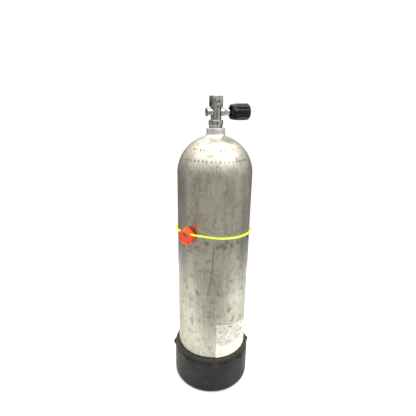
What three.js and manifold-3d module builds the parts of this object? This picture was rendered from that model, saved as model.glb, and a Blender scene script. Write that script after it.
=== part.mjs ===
// Scuba cylinder with a yoke pillar valve, a rubber boot and a dust cap on an elastic cord.
// Millimetres, +Z up. The origin is the centre of the boot's underside, +X runs along the valve's
// stem towards the knob, and the valve's outlet faces +Y.
import * as THREE from "three";
import { mergeVertices } from "three/addons/utils/BufferGeometryUtils.js";
import Module from "manifold-3d";

const wasm = await Module();
wasm.setup();

// ---- Driving dimensions ----
const clearance = 0.3; // between pieces that touch
const runningGap = 0.4; // between pieces that turn or slide in each other
const ringSlack = 0.1; // between a rubber ring and its groove
const chamfer = 1; // on the larger pieces
const edgeBreak = 0.8; // on the valve's turned pieces
const overrun = 1; // of a cutting solid, past the surface that it cuts
const overlap = 0.5; // of solids that are joined

// Cylinder
const tankRadius = 92;
const tankWall = 12.5;
const tankBase = 19;
const baseEdgeRadius = 13;
const innerEdgeRadius = 20;
const shoulderHeight = 588; // where the straight side turns into the round shoulder
const neckRadius = 22;
const neckFillet = 10;
const neckHeight = 16; // above the top of the round shoulder
const neckTop = shoulderHeight + tankRadius + neckHeight;
const neckBore = 12.5;
const tankSides = 40;

// Boot
const bootFloor = 8;
const bootHeight = 106;
const bootWall = 4.5;
const bootRoom = 6.5; // between the cylinder and the wall
const bootRadius = tankRadius + bootRoom + bootWall;
const bootEdgeRadius = 8;
const bootRimRounding = 3.5;
const lipHeight = 9; // the rim closes on the cylinder over this height
const lipSlope = 4; // under the lip
const flangeReach = 5.5; // of the eight-sided flange's corners, past the wall
const flangeMid = bootHeight - 15;
const flangeHalfHeight = 12;
const flangeEdge = 1.5; // half the flange's thickness at its corners
const flangeFootInset = 1; // from the wall, where the flange begins
const flangeTopInset = 5;
const flangeTurn = 29.3; // degrees
const ribCount = 8;
const ribWidth = 3;
const drainCount = 6;
const drainRadius = 6;
const drainCircle = 0.65 * tankRadius;

// Inspection label, round the cylinder from one angle to the other
const labelThickness = 0.5;
const labelLift = 1; // above the boot's rim
const labelFrom = -104; // degrees from +X
const labelTo = -32;
const labelLongSide = 106; // its height on the left
const labelShortSide = 88;

// Valve
const stemRise = 36; // of the stem's axis, above the neck's top
const stemHeight = neckTop + stemRise;
const stubRadius = 12.1;
const stubLength = 32; // below the neck's top
const bandRadius = 15.5;
const bandHeight = 5.7;
const valveFlangeRadius = 17;
const valveFlangeHeight = 11.5;
const pillarRadius = 12.5;
const headRise = 11; // its underside, above the stem's axis
const headOverlap = 2; // of the pillar into the head
const headHeight = 25;
const headWidth = 24; // along the stem
const headDepth = 31; // from the outlet face to the back
const headFrontCorner = 3;
const headBackCorner = 6.5;
const headBevel = 1;
const outletRise = 24.5; // above the stem's axis
const outletBore = 4;
const outletDepth = 18.5;
const grooveInner = 6;
const grooveOuter = 8.3;
const grooveDepth = 2;
const dimpleRadius = 3.6;
const dimpleDepth = 3;
const inletBore = 2;
const inletTop = 1.5; // above the stem's axis
const orificeBore = 1.4;
const passageBore = 1.6;
const passageAt = 5; // along the stem
const passageFoot = 2; // above the stem's axis, inside the chamber
const chamberBore = 6.3;
const chamberStart = 3.5;
const crownHeight = 1;
const crownRadius = 2.8;
const bossRadius = 8.5;
const bossEnd = 17.5;
const sideBossEnd = -21;
const sideBossRoot = -10.5; // where its taper ends
const sideBossTip = 6;
const sideBore = 4;
const sideBoreEnd = -3;

// Neck seal and dip tube
const neckRingSection = 2.4;
const dipTubeRadius = 3;
const dipTubeBore = 1.5;
const dipTubeLength = 58;
const dipTubeSeat = 8;

// Side plug
const plugHeadRadius = 9.5;
const plugHeadThickness = 3;
const plugShank = 12;
const plugGroove = 2.5;
const plugGrooveWidth = 1.8;
const plugRingAt = 6; // from the head
const plugRingSection = 1;

// Burst disc in the head's side
const burstRise = 23.2; // above the stem's axis
const burstY = -7.5;
const burstPortRadius = 4.6;
const burstDepth = 4.4;
const burstPlugLength = 2.4;
const burstPlugInset = 0.2;
const burstVent = 2;
const burstVentDepth = 1.6;
const feedDrillRadius = 1;
const burstDiscThickness = 0.4;
const burstGasketThickness = 0.6;

// Shut-off inside the valve: its pieces' places along the stem
const seatRadius = 4;
const seatThickness = 2;
const seatProud = 0.6; // the seat stands out of its carrier
const carrierRadius = 5.9;
const carrierLength = 6.8;
const slotWidth = 2.6;
const slotDepth = 4;
const seatTravel = 2;
const tangThickness = 2;
const tangWidth = 8;
const collarRadius = 4.5;
const collarLength = 1.4;
const collarInset = 0.1; // from the bonnet's inner end
const washerThickness = 0.8;
const spindleRadius = 3;
const spindleEnd = 36; // where the square begins
const squareSide = 4.2;
const squareEnd = 57.6;
const threadRadius = 1.9;
const spindleTip = 71.5;
const stemRingAt = 29;
const stemRingSection = 0.9;
const stemGrooveDepth = 1;
const stemGrooveWidth = 2;

// Bonnet
const gasketThickness = 0.8;
const bonnetHexAcross = 16;
const bonnetHexLength = 7.4;
const bonnetNeckRadius = 6.8;
const bonnetEnd = 34;

// Knob
const knobStart = 37;
const knobEnd = 83;
const knobRadius = 19.5;
const knobStartRadius = 17;
const knobWidest = 56;
const knobEndRounding = 5;
const lobeCount = 8;
const fluteDepth = 2.8;
const fluteFullness = 0.8; // less than 1 makes the flutes broad and the lobes round
const pointsPerLobe = 8;
const skirtDepth = 6;
const skirtRadius = 11.5;
const hubAcross = 14.7;
const hubLength = 22.4;
const springPocket = 6.4;
const springPocketDepth = 8;
const springRadius = 5.2;
const springWire = 0.6;
const springTurns = 4;
const knobWasherRadius = 6;
const knobWasherThickness = 1.2;
const knobNutAcross = 8;
const knobNutHeight = 3.4;
const capPocketRadius = 10.5;
const capThickness = 5.5;

// Dust cap on the cord
const dustCapRadius = 19.3;
const dustCapLength = 17;
const dustCapTurn = -148.7; // degrees from +X
const dustCapTilt = 8; // its face looks down by this many degrees
const dustCapOut = 13.5; // its middle, from the cylinder's wall
const dustCapDrop = 136; // below the top of the straight side
const dustCapHeight = shoulderHeight - dustCapDrop;
const dustPlugRadius = 11.8;
const dustPlugLength = 2.6;
const dustRecessRadius = 14.5;
const dustRecessDepth = 3.2;
const dustCapFrontEdge = 3;
const dustCapBackEdge = 1.5;
const cordHoleForward = 0.2; // of the cap's middle
const cordHoleUp = 0.466 * dustCapRadius; // above the cap's middle
const knotPocketDrop = 0.8; // below the cord's hole

// Elastic cord
const cordRadius = 2.5;
const cordGap = 0.6; // to the cylinder, and in the cap's hole
const knotRadius = 1.76 * cordRadius;
const knotGap = 0.8;
const cordSteps = 54;
const cordSides = 8;

// The cord's route on the cylinder from the cap's one side to its other: degrees round from the
// cap, height above the cap's middle, and how far it is held off the cylinder.
const cordRoute = [
  [28, 4, 3],
  [43, 0, 0],
  [59, -1.5, 0],
  [79, -3.5, 0],
  [103, -6, 0],
  [127, -8, 0],
  [151, -9.5, 0],
  [176, -10.5, 0],
  [201, -11, 0],
  [226, -11, 0],
  [251, -11, 0],
  [276, -11, 0],
  [299, -9.5, 0],
  [318, -5, 0],
  [333, 1, 3],
];

const fullTurn = 2 * Math.PI;
const radians = THREE.MathUtils.degToRad;

// ---- Materials ----
const finish = (color, roughness, metalness) =>
  new THREE.MeshStandardMaterial({ color, roughness, metalness });
const bareAluminium = finish(0x95948a, 0.5, 0.9);
const chrome = finish(0xc9c9c4, 0.15, 1);
const brass = finish(0xb08d4a, 0.35, 1);
const steel = finish(0x9a9a9a, 0.3, 1);
const blackRubber = finish(0x2c2d2f, 0.75, 0);
const blackPlastic = finish(0x1b1c1e, 0.35, 0);
const redPlastic = finish(0xe0402a, 0.35, 0);
const neonCord = finish(0xd8f23a, 0.8, 0);
const labelPaper = finish(0xd9d4c6, 0.85, 0);
const whiteNylon = finish(0xe8e6de, 0.5, 0);
const sealRubber = finish(0x18181a, 0.7, 0);

// ---- Solids ----
// A closed geometry as a solid that can be cut and joined.
function solid(geometry) {
  const bare = new THREE.BufferGeometry();
  bare.setAttribute("position", geometry.getAttribute("position"));
  if (geometry.index) bare.setIndex(geometry.index);
  const merged = mergeVertices(bare, 1e-4);
  return new wasm.Manifold(
    new wasm.Mesh({
      numProp: 3,
      vertProperties: new Float32Array(merged.attributes.position.array),
      triVerts: new Uint32Array(merged.index.array),
    }),
  );
}

// A solid back as a three.js geometry.
function geometryOf(shape) {
  const mesh = shape.getMesh();
  const geometry = new THREE.BufferGeometry();
  geometry.setAttribute("position", new THREE.BufferAttribute(mesh.vertProperties, 3));
  geometry.setIndex(new THREE.BufferAttribute(mesh.triVerts, 1));
  geometry.computeVertexNormals();
  return geometry;
}

// The profile in the order that makes a lathe's faces point out.
function outward(profile) {
  const twiceArea = profile.reduce((sum, [r, h], i) => {
    const [nextR, nextH] = profile[(i + 1) % profile.length];
    return sum + r * nextH - nextR * h;
  }, 0);
  return twiceArea > 0 ? profile : [...profile].reverse();
}

// Turned about Z from [radius, height] points that start and end on the axis.
function turned(profile, sides) {
  const points = outward(profile).map(([r, h]) => new THREE.Vector2(r, h));
  return new THREE.LatheGeometry(points, sides).rotateX(Math.PI / 2);
}

// Turned about Z from a profile that closes on itself away from the axis.
function turnedRing(profile, sides) {
  const points = outward(profile).map(([r, h]) => new THREE.Vector2(r, h));
  points.push(points[0].clone());
  return new THREE.LatheGeometry(points, sides).rotateX(Math.PI / 2);
}

// Turned about the stem's direction, from [radius, distance along +X] points.
const turnedOnStem = (profile, sides) => turned(profile, sides).rotateY(Math.PI / 2);
const ringOnStem = (profile, sides) => turnedRing(profile, sides).rotateY(Math.PI / 2);

// The four corners of a plain rod or ring profile.
const rodProfile = (radius, from, to) => [[0, from], [radius, from], [radius, to], [0, to]];
const bandProfile = (inner, outer, from, to) => [
  [inner, from],
  [outer, from],
  [outer, to],
  [inner, to],
];

// Points on an arc from one angle to another, in degrees.
function arc(centreR, centreH, radius, from, to, steps) {
  return Array.from({ length: steps + 1 }, (_, i) => {
    const angle = radians(from + ((to - from) * i) / steps);
    return [centreR + radius * Math.cos(angle), centreH + radius * Math.sin(angle)];
  });
}

// A rubber ring of round section.
function oRing(middleRadius, middle, section, ringSides) {
  const profile = arc(middleRadius, middle, section / 2, 0, 300, 5);
  return turnedRing(profile, ringSides);
}

// A flat outline given a thickness along Z.
function prism(outline, from, to) {
  const shape = new THREE.Shape(outline.map(([x, y]) => new THREE.Vector2(x, y)));
  const geometry = new THREE.ExtrudeGeometry(shape, { depth: to - from, bevelEnabled: false });
  return geometry.translate(0, 0, from);
}

// A hexagonal prism along the stem, by its size across flats.
function hexOnStem(across, from, to) {
  const corner = across / 2 / Math.cos(Math.PI / 6);
  return turnedOnStem(rodProfile(corner, from, to), 6);
}

// A round tube along a curve.
function tubeAlong(curve, radius, steps, sides) {
  const section = new THREE.Shape(
    Array.from({ length: sides }, (_, i) => {
      const angle = (fullTurn * i) / sides;
      return new THREE.Vector2(radius * Math.cos(angle), radius * Math.sin(angle));
    }),
  );
  return new THREE.ExtrudeGeometry(section, { steps, extrudePath: curve, bevelEnabled: false });
}

function piece(name, geometry, material) {
  const mesh = new THREE.Mesh(geometry, material);
  mesh.name = name;
  return mesh;
}

// ---- Cylinder, boot and label ----
const cylinderBottom = bootFloor + clearance;
const neckRingSeat = neckRingSection + clearance;
const neckRingRadius = stubRadius + clearance + neckRingSection / 2;

function cylinderShell() {
  const innerRadius = tankRadius - tankWall;
  const innerFloor = cylinderBottom + tankBase;
  const filletR = neckRadius + neckFillet;
  const filletH = Math.sqrt((tankRadius + neckFillet) ** 2 - filletR ** 2);
  const meeting = THREE.MathUtils.radToDeg(Math.atan2(filletH, filletR));
  const mouth = THREE.MathUtils.radToDeg(Math.acos(neckBore / innerRadius));
  const seatRadiusInNeck = neckRingRadius + neckRingSection / 2 + clearance;
  return turned(
    [
      [0, cylinderBottom],
      ...arc(tankRadius - baseEdgeRadius, cylinderBottom + baseEdgeRadius, baseEdgeRadius, -90, 0, 3),
      ...arc(0, shoulderHeight, tankRadius, 0, meeting, 9),
      ...arc(filletR, shoulderHeight + filletH, neckFillet, meeting + 180, 180, 3).slice(1),
      [neckRadius, neckTop - chamfer],
      [neckRadius - chamfer, neckTop],
      [seatRadiusInNeck, neckTop],
      [seatRadiusInNeck, neckTop - neckRingSeat],
      [neckBore, neckTop - neckRingSeat],
      ...arc(0, shoulderHeight, innerRadius, mouth, 0, 7),
      ...arc(innerRadius - innerEdgeRadius, innerFloor + innerEdgeRadius, innerEdgeRadius, 0, -90, 3),
      [0, innerFloor],
    ],
    tankSides,
  );
}

function bootCup() {
  const innerRadius = bootRadius - bootWall;
  const wallMiddle = bootRadius - bootWall / 2;
  const lipRadius = tankRadius + clearance;
  const lipFoot = bootHeight - lipHeight;
  const cup = solid(
    turned(
      [
        [0, 0],
        ...arc(bootRadius - bootEdgeRadius, bootEdgeRadius, bootEdgeRadius, -90, 0, 3),
        [bootRadius, flangeMid],
        [bootRadius - bootRimRounding, bootHeight - bootRimRounding],
        [bootRadius - 2 * bootRimRounding, bootHeight],
        [lipRadius + chamfer, bootHeight],
        [lipRadius, bootHeight - chamfer],
        [lipRadius, lipFoot],
        [innerRadius, lipFoot - lipSlope],
        [innerRadius, bootFloor],
        [0, bootFloor],
      ],
      tankSides,
    ),
  );
  const flange = solid(
    turned(
      [
        [0, flangeMid - flangeHalfHeight],
        [bootRadius - flangeFootInset, flangeMid - flangeHalfHeight],
        [bootRadius + flangeReach, flangeMid - flangeEdge],
        [bootRadius + flangeReach, flangeMid + flangeEdge],
        [bootRadius - flangeTopInset, flangeMid + flangeHalfHeight],
        [0, flangeMid + flangeHalfHeight],
      ],
      8,
    ).rotateZ(radians(flangeTurn)),
  );
  const coreRadius = innerRadius + overlap;
  const inside = solid(turned(rodProfile(coreRadius, bootFloor, 2 * bootHeight), tankSides));
  let boot = cup.add(flange.subtract(inside));
  for (let i = 0; i < ribCount; i++) {
    const rib = new THREE.BoxGeometry(wallMiddle - lipRadius, ribWidth, lipFoot - bootFloor);
    rib.translate((wallMiddle + lipRadius) / 2, 0, (lipFoot + bootFloor) / 2);
    boot = boot.add(solid(rib.rotateZ((fullTurn * (i + 0.5)) / ribCount)));
  }
  for (let i = 0; i < drainCount; i++) {
    const drain = turned(rodProfile(drainRadius, -overrun, bootFloor + overrun), 12);
    drain.translate(drainCircle, 0, 0).rotateZ((fullTurn * i) / drainCount);
    boot = boot.subtract(solid(drain));
  }
  return geometryOf(boot);
}

// A thin sheet bent round the cylinder, with a slanting upper edge.
function inspectionLabel() {
  const inner = tankRadius + clearance;
  const bottom = bootHeight + labelLift;
  const outer = inner + labelThickness;
  const leftTop = bottom + labelLongSide;
  const rightTop = bottom + labelShortSide;
  const ring = turnedRing(bandProfile(inner, outer, bottom, leftTop + overrun), tankSides);
  const middle = (labelFrom + labelTo) / 2;
  const across = (degrees) => outer * Math.sin(radians(degrees - middle));
  const outline = [
    [across(labelFrom), bottom - overrun],
    [across(labelTo), bottom - overrun],
    [across(labelTo), rightTop],
    [across(labelFrom), leftTop],
  ];
  const window = prism(outline, tankRadius / 2, 2 * tankRadius)
    .rotateX(Math.PI / 2)
    .rotateZ(radians(middle + 90));
  return geometryOf(solid(ring).intersect(solid(window)));
}

// ---- Valve, in its own group with the stem along X at height 0 ----
const neckTopInValve = neckTop - stemHeight;
const flangeBottom = neckTopInValve + clearance + bandHeight;
const flangeTop = flangeBottom + valveFlangeHeight;
const headTop = headRise + headHeight;
const outletFace = headDepth / 2;
const burstFace = -headWidth / 2;
const burstFloor = burstFace + burstDepth;
const stubBottom = neckTopInValve - stubLength;
const crownFace = chamberStart + crownHeight;
const seatFace = crownFace + clearance;
const carrierFace = seatFace + seatProud;
const carrierBack = carrierFace + carrierLength;
const bonnetStart = carrierBack + seatTravel + clearance;
const collarStart = bonnetStart + collarInset;
const thrustStart = collarStart + collarLength + clearance;
const bonnetShoulder = thrustStart + washerThickness + clearance;
const bonnetHexStart = bossEnd + gasketThickness + 2 * clearance;
const bonnetNeckStart = bonnetHexStart + bonnetHexLength;

// A bore along Y from the outlet face inwards.
function boredFromOutlet(profile, sides) {
  return solid(turned(profile, sides).rotateX(-Math.PI / 2));
}

function valveHead() {
  const frontX = headWidth / 2 - headFrontCorner;
  const frontY = outletFace - headFrontCorner;
  const backX = headWidth / 2 - headBackCorner;
  const backY = -outletFace + headBackCorner;
  const outline = [
    ...arc(frontX, frontY, headFrontCorner, 0, 90, 3),
    ...arc(-frontX, frontY, headFrontCorner, 90, 180, 3),
    ...arc(-backX, backY, headBackCorner, 180, 270, 5),
    ...arc(backX, backY, headBackCorner, 270, 360, 5),
  ];
  const shape = new THREE.Shape(outline.map(([x, y]) => new THREE.Vector2(x, y)));
  const head = new THREE.ExtrudeGeometry(shape, {
    depth: headTop - headRise - 2 * headBevel,
    bevelThickness: headBevel,
    bevelSize: headBevel,
    bevelOffset: -headBevel,
    bevelSegments: 1,
  });
  return solid(head.translate(0, 0, headRise + headBevel));
}

function valveBody() {
  const post = solid(
    turned(
      [
        [0, stubBottom],
        [stubRadius - chamfer, stubBottom],
        [stubRadius, stubBottom + chamfer],
        [stubRadius, neckTopInValve + clearance],
        [bandRadius, neckTopInValve + clearance],
        [bandRadius, flangeBottom],
        [valveFlangeRadius, flangeBottom + edgeBreak],
        [valveFlangeRadius, flangeTop - edgeBreak],
        [valveFlangeRadius - edgeBreak, flangeTop],
        [pillarRadius, flangeTop],
        [pillarRadius, headRise + headOverlap],
        [0, headRise + headOverlap],
      ],
      24,
    ),
  );
  const knobBoss = solid(turnedOnStem(rodProfile(bossRadius, 0, bossEnd), 24));
  const sideBoss = solid(
    turnedOnStem(
      [
        [0, sideBossEnd],
        [sideBossTip, sideBossEnd],
        [bossRadius, sideBossRoot],
        [bossRadius, 0],
        [0, 0],
      ],
      24,
    ),
  );
  const chamber = solid(
    turnedOnStem(
      [
        [0, crownFace],
        [crownRadius, crownFace],
        [crownRadius, chamberStart],
        [chamberBore, chamberStart],
        [chamberBore, bossEnd + overrun],
        [0, bossEnd + overrun],
      ],
      24,
    ),
  );
  const dipTubeFit = dipTubeRadius + clearance;
  const outletEnd = outletFace + overrun;
  const inlet = solid(turned(rodProfile(inletBore, stubBottom - overrun, inletTop), 12));
  const dipTubeHole = solid(
    turned(rodProfile(dipTubeFit, stubBottom - overrun, stubBottom + dipTubeSeat), 16),
  );
  const orifice = solid(turnedOnStem(rodProfile(orificeBore, 0, crownFace + overrun), 12));
  const passage = solid(
    turned(rodProfile(passageBore, passageFoot, outletRise + overlap), 12).translate(passageAt, 0, 0),
  );
  const sidePort = solid(turnedOnStem(rodProfile(sideBore, sideBossEnd - overrun, sideBoreEnd), 16));
  const outlet = boredFromOutlet(
    rodProfile(outletBore, outletFace - outletDepth, outletEnd),
    20,
  ).translate([0, 0, outletRise]);
  const groove = solid(
    turnedRing(bandProfile(grooveInner, grooveOuter, outletFace - grooveDepth, outletEnd), 24)
      .rotateX(-Math.PI / 2),
  ).translate([0, 0, outletRise]);
  const dimple = boredFromOutlet(
    [
      [0, -outletFace + dimpleDepth],
      [dimpleRadius, -outletFace],
      [dimpleRadius, -outletFace - overrun],
      [0, -outletFace - overrun],
    ],
    16,
  ).translate([0, 0, outletRise]);
  const burstPort = solid(
    turnedOnStem(
      [
        [0, burstFace - overrun],
        [burstPortRadius, burstFace - overrun],
        [burstPortRadius, burstFloor],
        [burstVent, burstFloor],
        [burstVent, burstFloor + burstVentDepth],
        [0, burstFloor + burstVentDepth],
      ],
      16,
    ),
  ).translate([0, burstY, burstRise]);
  return geometryOf(
    [
      chamber,
      inlet,
      dipTubeHole,
      orifice,
      passage,
      sidePort,
      outlet,
      groove,
      dimple,
      burstPort,
      feedDrill(),
    ].reduce((body, cut) => body.subtract(cut), post.add(valveHead()).add(knobBoss).add(sideBoss)),
  );
}

// The thin drill from the side port up to the burst disc's floor, on a slant.
function feedDrill() {
  const along = burstFloor + burstVentDepth / 2;
  const low = new THREE.Vector3(along, 0, sideBore / 2);
  const high = new THREE.Vector3(along, burstY, burstRise);
  return solid(tubeAlong(new THREE.LineCurve3(low, high), feedDrillRadius, 1, 8));
}

function neckORing() {
  const middle = neckTopInValve - neckRingSeat + ringSlack + neckRingSection / 2;
  return oRing(neckRingRadius, middle, neckRingSection, 24);
}

function dipTube() {
  const top = stubBottom + dipTubeSeat - clearance;
  return turnedRing(bandProfile(dipTubeBore, dipTubeRadius, top - dipTubeLength, top), 16);
}

function outletORing() {
  const section = grooveDepth - 2 * ringSlack;
  const ring = oRing((grooveInner + grooveOuter) / 2, outletFace - grooveDepth / 2, section, 24);
  return ring.rotateX(-Math.PI / 2).translate(0, 0, outletRise);
}

function sidePlug() {
  const headIn = sideBossEnd - clearance;
  const grooveStart = headIn + plugRingAt - plugGrooveWidth / 2;
  const shank = sideBore - clearance;
  return turnedOnStem(
    [
      [0, headIn - plugHeadThickness],
      [plugHeadRadius - edgeBreak, headIn - plugHeadThickness],
      [plugHeadRadius, headIn - plugHeadThickness + edgeBreak],
      [plugHeadRadius, headIn],
      [shank, headIn],
      [shank, grooveStart],
      [plugGroove, grooveStart],
      [plugGroove, grooveStart + plugGrooveWidth],
      [shank, grooveStart + plugGrooveWidth],
      [shank, headIn + plugShank],
      [0, headIn + plugShank],
    ],
    24,
  );
}

function sidePlugORing() {
  const middle = sideBossEnd - clearance + plugRingAt;
  const ring = oRing((plugGroove + sideBore) / 2, middle, plugRingSection, 20);
  return ring.rotateY(Math.PI / 2);
}

function burstPieces() {
  const radius = burstPortRadius - clearance;
  const plugStart = burstFace + burstPlugInset;
  const plugEnd = plugStart + burstPlugLength;
  const discStart = plugEnd + clearance;
  const discEnd = discStart + burstDiscThickness;
  const gasketStart = discEnd + clearance;
  const gasketEnd = gasketStart + burstGasketThickness;
  const plug = ringOnStem(bandProfile(burstVent, radius, plugStart, plugEnd), 20);
  const disc = turnedOnStem(rodProfile(radius, discStart, discEnd), 20);
  const gasket = ringOnStem(bandProfile(burstVent, radius, gasketStart, gasketEnd), 20);
  return [
    piece("burst_plug", plug.translate(0, burstY, burstRise), brass),
    piece("burst_disc", disc.translate(0, burstY, burstRise), steel),
    piece("burst_gasket", gasket.translate(0, burstY, burstRise), whiteNylon),
  ];
}

function valveSeat() {
  return turnedOnStem(rodProfile(seatRadius, seatFace, seatFace + seatThickness), 20);
}

function seatCarrier() {
  const recess = seatThickness - seatProud + clearance;
  const body = solid(
    turnedOnStem(
      [
        [0, carrierFace + recess],
        [seatRadius + clearance, carrierFace + recess],
        [seatRadius + clearance, carrierFace],
        [carrierRadius, carrierFace],
        [carrierRadius, carrierBack],
        [0, carrierBack],
      ],
      24,
    ),
  );
  const slot = new THREE.BoxGeometry(slotDepth + overrun, slotWidth, 3 * carrierRadius);
  slot.translate(carrierBack + (overrun - slotDepth) / 2, 0, 0);
  return geometryOf(body.subtract(solid(slot)));
}

function spindle() {
  const tangStart = carrierBack - slotDepth + seatTravel + clearance;
  const grooveRadius = spindleRadius - stemGrooveDepth;
  const grooveStart = stemRingAt - stemGrooveWidth / 2;
  const grooveEnd = grooveStart + stemGrooveWidth;
  const shaft = solid(
    turnedOnStem(
      [
        [0, collarStart],
        [collarRadius, collarStart],
        [collarRadius, collarStart + collarLength],
        [spindleRadius, collarStart + collarLength],
        [spindleRadius, grooveStart],
        [grooveRadius, grooveStart],
        [grooveRadius, grooveEnd],
        [spindleRadius, grooveEnd],
        [spindleRadius, spindleEnd],
        [threadRadius, spindleEnd],
        [threadRadius, spindleTip - edgeBreak],
        [threadRadius - edgeBreak, spindleTip],
        [0, spindleTip],
      ],
      20,
    ),
  );
  const tang = new THREE.BoxGeometry(collarStart - tangStart + overlap, tangThickness, tangWidth);
  tang.translate((collarStart + tangStart + overlap) / 2, 0, 0);
  const square = new THREE.BoxGeometry(squareEnd - spindleEnd + overlap, squareSide, squareSide);
  square.translate((squareEnd + spindleEnd - overlap) / 2, 0, 0);
  return geometryOf(shaft.add(solid(tang)).add(solid(square)));
}

function thrustWasher() {
  const inner = spindleRadius + clearance;
  return ringOnStem(bandProfile(inner, collarRadius, thrustStart, thrustStart + washerThickness), 20);
}

function stemORing() {
  const middle = spindleRadius - stemGrooveDepth + ringSlack + stemRingSection / 2;
  return oRing(middle, stemRingAt, stemRingSection, 16).rotateY(Math.PI / 2);
}

function bonnetGasket() {
  const start = bossEnd + clearance;
  const outer = bossRadius - clearance;
  return ringOnStem(bandProfile(chamberBore + ringSlack, outer, start, start + gasketThickness), 24);
}

function bonnetNut() {
  const shank = chamberBore - clearance;
  const collarBore = collarRadius + runningGap;
  const stemBore = spindleRadius + clearance;
  const turnedPart = solid(
    turnedOnStem(
      [
        [0, bonnetStart],
        [shank, bonnetStart],
        [shank, bonnetHexStart],
        [bonnetNeckRadius, bonnetHexStart + chamfer],
        [bonnetNeckRadius, bonnetEnd - chamfer],
        [bonnetNeckRadius - chamfer, bonnetEnd],
        [0, bonnetEnd],
      ],
      24,
    ),
  );
  const bore = solid(
    turnedOnStem(
      [
        [0, bonnetStart - overrun],
        [collarBore, bonnetStart - overrun],
        [collarBore, bonnetShoulder],
        [stemBore, bonnetShoulder],
        [stemBore, bonnetEnd + overrun],
        [0, bonnetEnd + overrun],
      ],
      24,
    ),
  );
  const hex = solid(hexOnStem(bonnetHexAcross, bonnetHexStart, bonnetNeckStart));
  return geometryOf(turnedPart.add(hex).subtract(bore));
}

// ---- Knob ----
const hubStart = knobStart + skirtDepth + clearance;
const hubEnd = hubStart + hubLength;
const springFloor = hubEnd - springPocketDepth;
const springStart = springFloor + clearance + springWire;
const springEnd = hubEnd - clearance - springWire;
const knobWasherStart = hubEnd + clearance;
const knobNutStart = knobWasherStart + knobWasherThickness + clearance;
const capPocketStart = knobWasherStart;
const capStart = knobEnd - capThickness;

// The outline across the knob: round lobes with a smooth flute between each pair.
function lobedOutline() {
  const steps = pointsPerLobe * lobeCount;
  return Array.from({ length: steps }, (_, i) => {
    const angle = (fullTurn * i) / steps;
    const flute = Math.max(0, -Math.cos(lobeCount * angle)) ** fluteFullness;
    const radius = knobRadius - fluteDepth * flute;
    return [radius * Math.cos(angle), radius * Math.sin(angle)];
  });
}

// The knob's outline from the side, from the skirt to the rounded end.
function knobEnvelope() {
  const taper = Array.from({ length: 4 }, (_, i) => {
    const share = i / 4;
    const swell = Math.sin((share * Math.PI) / 2);
    return [
      knobStartRadius + (knobRadius - knobStartRadius) * swell,
      knobStart + (knobWidest - knobStart) * share,
    ];
  });
  return [
    [0, knobStart],
    ...taper,
    [knobRadius, knobWidest],
    ...arc(knobRadius - knobEndRounding, knobEnd - knobEndRounding, knobEndRounding, 0, 90, 4),
    [0, knobEnd],
  ];
}

function knobGrip() {
  const past = knobEnd + overrun;
  const skirtEnd = knobStart + skirtDepth;
  const lobes = solid(prism(lobedOutline(), knobStart - overrun, past).rotateY(Math.PI / 2));
  const envelope = solid(turnedOnStem(knobEnvelope(), 32));
  const skirt = solid(turnedOnStem(rodProfile(skirtRadius, knobStart - overrun, skirtEnd), 24));
  const hubHole = solid(hexOnStem(hubAcross + 2 * clearance, knobStart, capPocketStart + overlap));
  const capPocket = solid(turnedOnStem(rodProfile(capPocketRadius, capPocketStart, past), 24));
  return geometryOf(
    [skirt, hubHole, capPocket].reduce((grip, cut) => grip.subtract(cut), lobes.intersect(envelope)),
  );
}

function knobHub() {
  const holeSide = squareSide + 2 * clearance;
  const squareHole = new THREE.BoxGeometry(hubLength + 2 * overrun, holeSide, holeSide);
  squareHole.translate((hubStart + hubEnd) / 2, 0, 0);
  const pocket = solid(turnedOnStem(rodProfile(springPocket, springFloor, hubEnd + overrun), 24));
  return geometryOf(
    solid(hexOnStem(hubAcross, hubStart, hubEnd)).subtract(solid(squareHole)).subtract(pocket),
  );
}

function knobSpring() {
  class Helix extends THREE.Curve {
    getPoint(t, target = new THREE.Vector3()) {
      const angle = fullTurn * springTurns * t;
      const along = springStart + (springEnd - springStart) * t;
      return target.set(along, springRadius * Math.cos(angle), springRadius * Math.sin(angle));
    }
  }
  return tubeAlong(new Helix(), springWire, 10 * springTurns, 5);
}

function knobWasher() {
  return ringOnStem(
    bandProfile(
      threadRadius + clearance,
      knobWasherRadius,
      knobWasherStart,
      knobWasherStart + knobWasherThickness,
    ),
    24,
  );
}

function knobNut() {
  const end = knobNutStart + knobNutHeight;
  const holeRadius = threadRadius + clearance;
  const hole = solid(turnedOnStem(rodProfile(holeRadius, knobNutStart - overrun, end + overrun), 16));
  return geometryOf(solid(hexOnStem(knobNutAcross, knobNutStart, end)).subtract(hole));
}

function knobCap() {
  const radius = capPocketRadius - clearance;
  return turnedOnStem(
    [
      [0, capStart],
      [radius, capStart],
      [radius, knobEnd - edgeBreak],
      [radius - edgeBreak, knobEnd],
      [0, knobEnd],
    ],
    24,
  );
}

// ---- Dust cap and cord ----
// The cap's own frame: +Z out of its face, +X level and to its right seen from outside, +Y up.
function capFrame() {
  const outwards = new THREE.Vector3(
    Math.cos(radians(dustCapTurn)) * Math.cos(radians(dustCapTilt)),
    Math.sin(radians(dustCapTurn)) * Math.cos(radians(dustCapTilt)),
    -Math.sin(radians(dustCapTilt)),
  );
  const sideways = new THREE.Vector3(
    -Math.sin(radians(dustCapTurn)),
    Math.cos(radians(dustCapTurn)),
    0,
  );
  const upwards = new THREE.Vector3().crossVectors(outwards, sideways);
  const distance = tankRadius + dustCapOut;
  const centre = new THREE.Vector3(
    distance * Math.cos(radians(dustCapTurn)),
    distance * Math.sin(radians(dustCapTurn)),
    dustCapHeight,
  );
  return new THREE.Matrix4().makeBasis(sideways, upwards, outwards).setPosition(centre);
}

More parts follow.
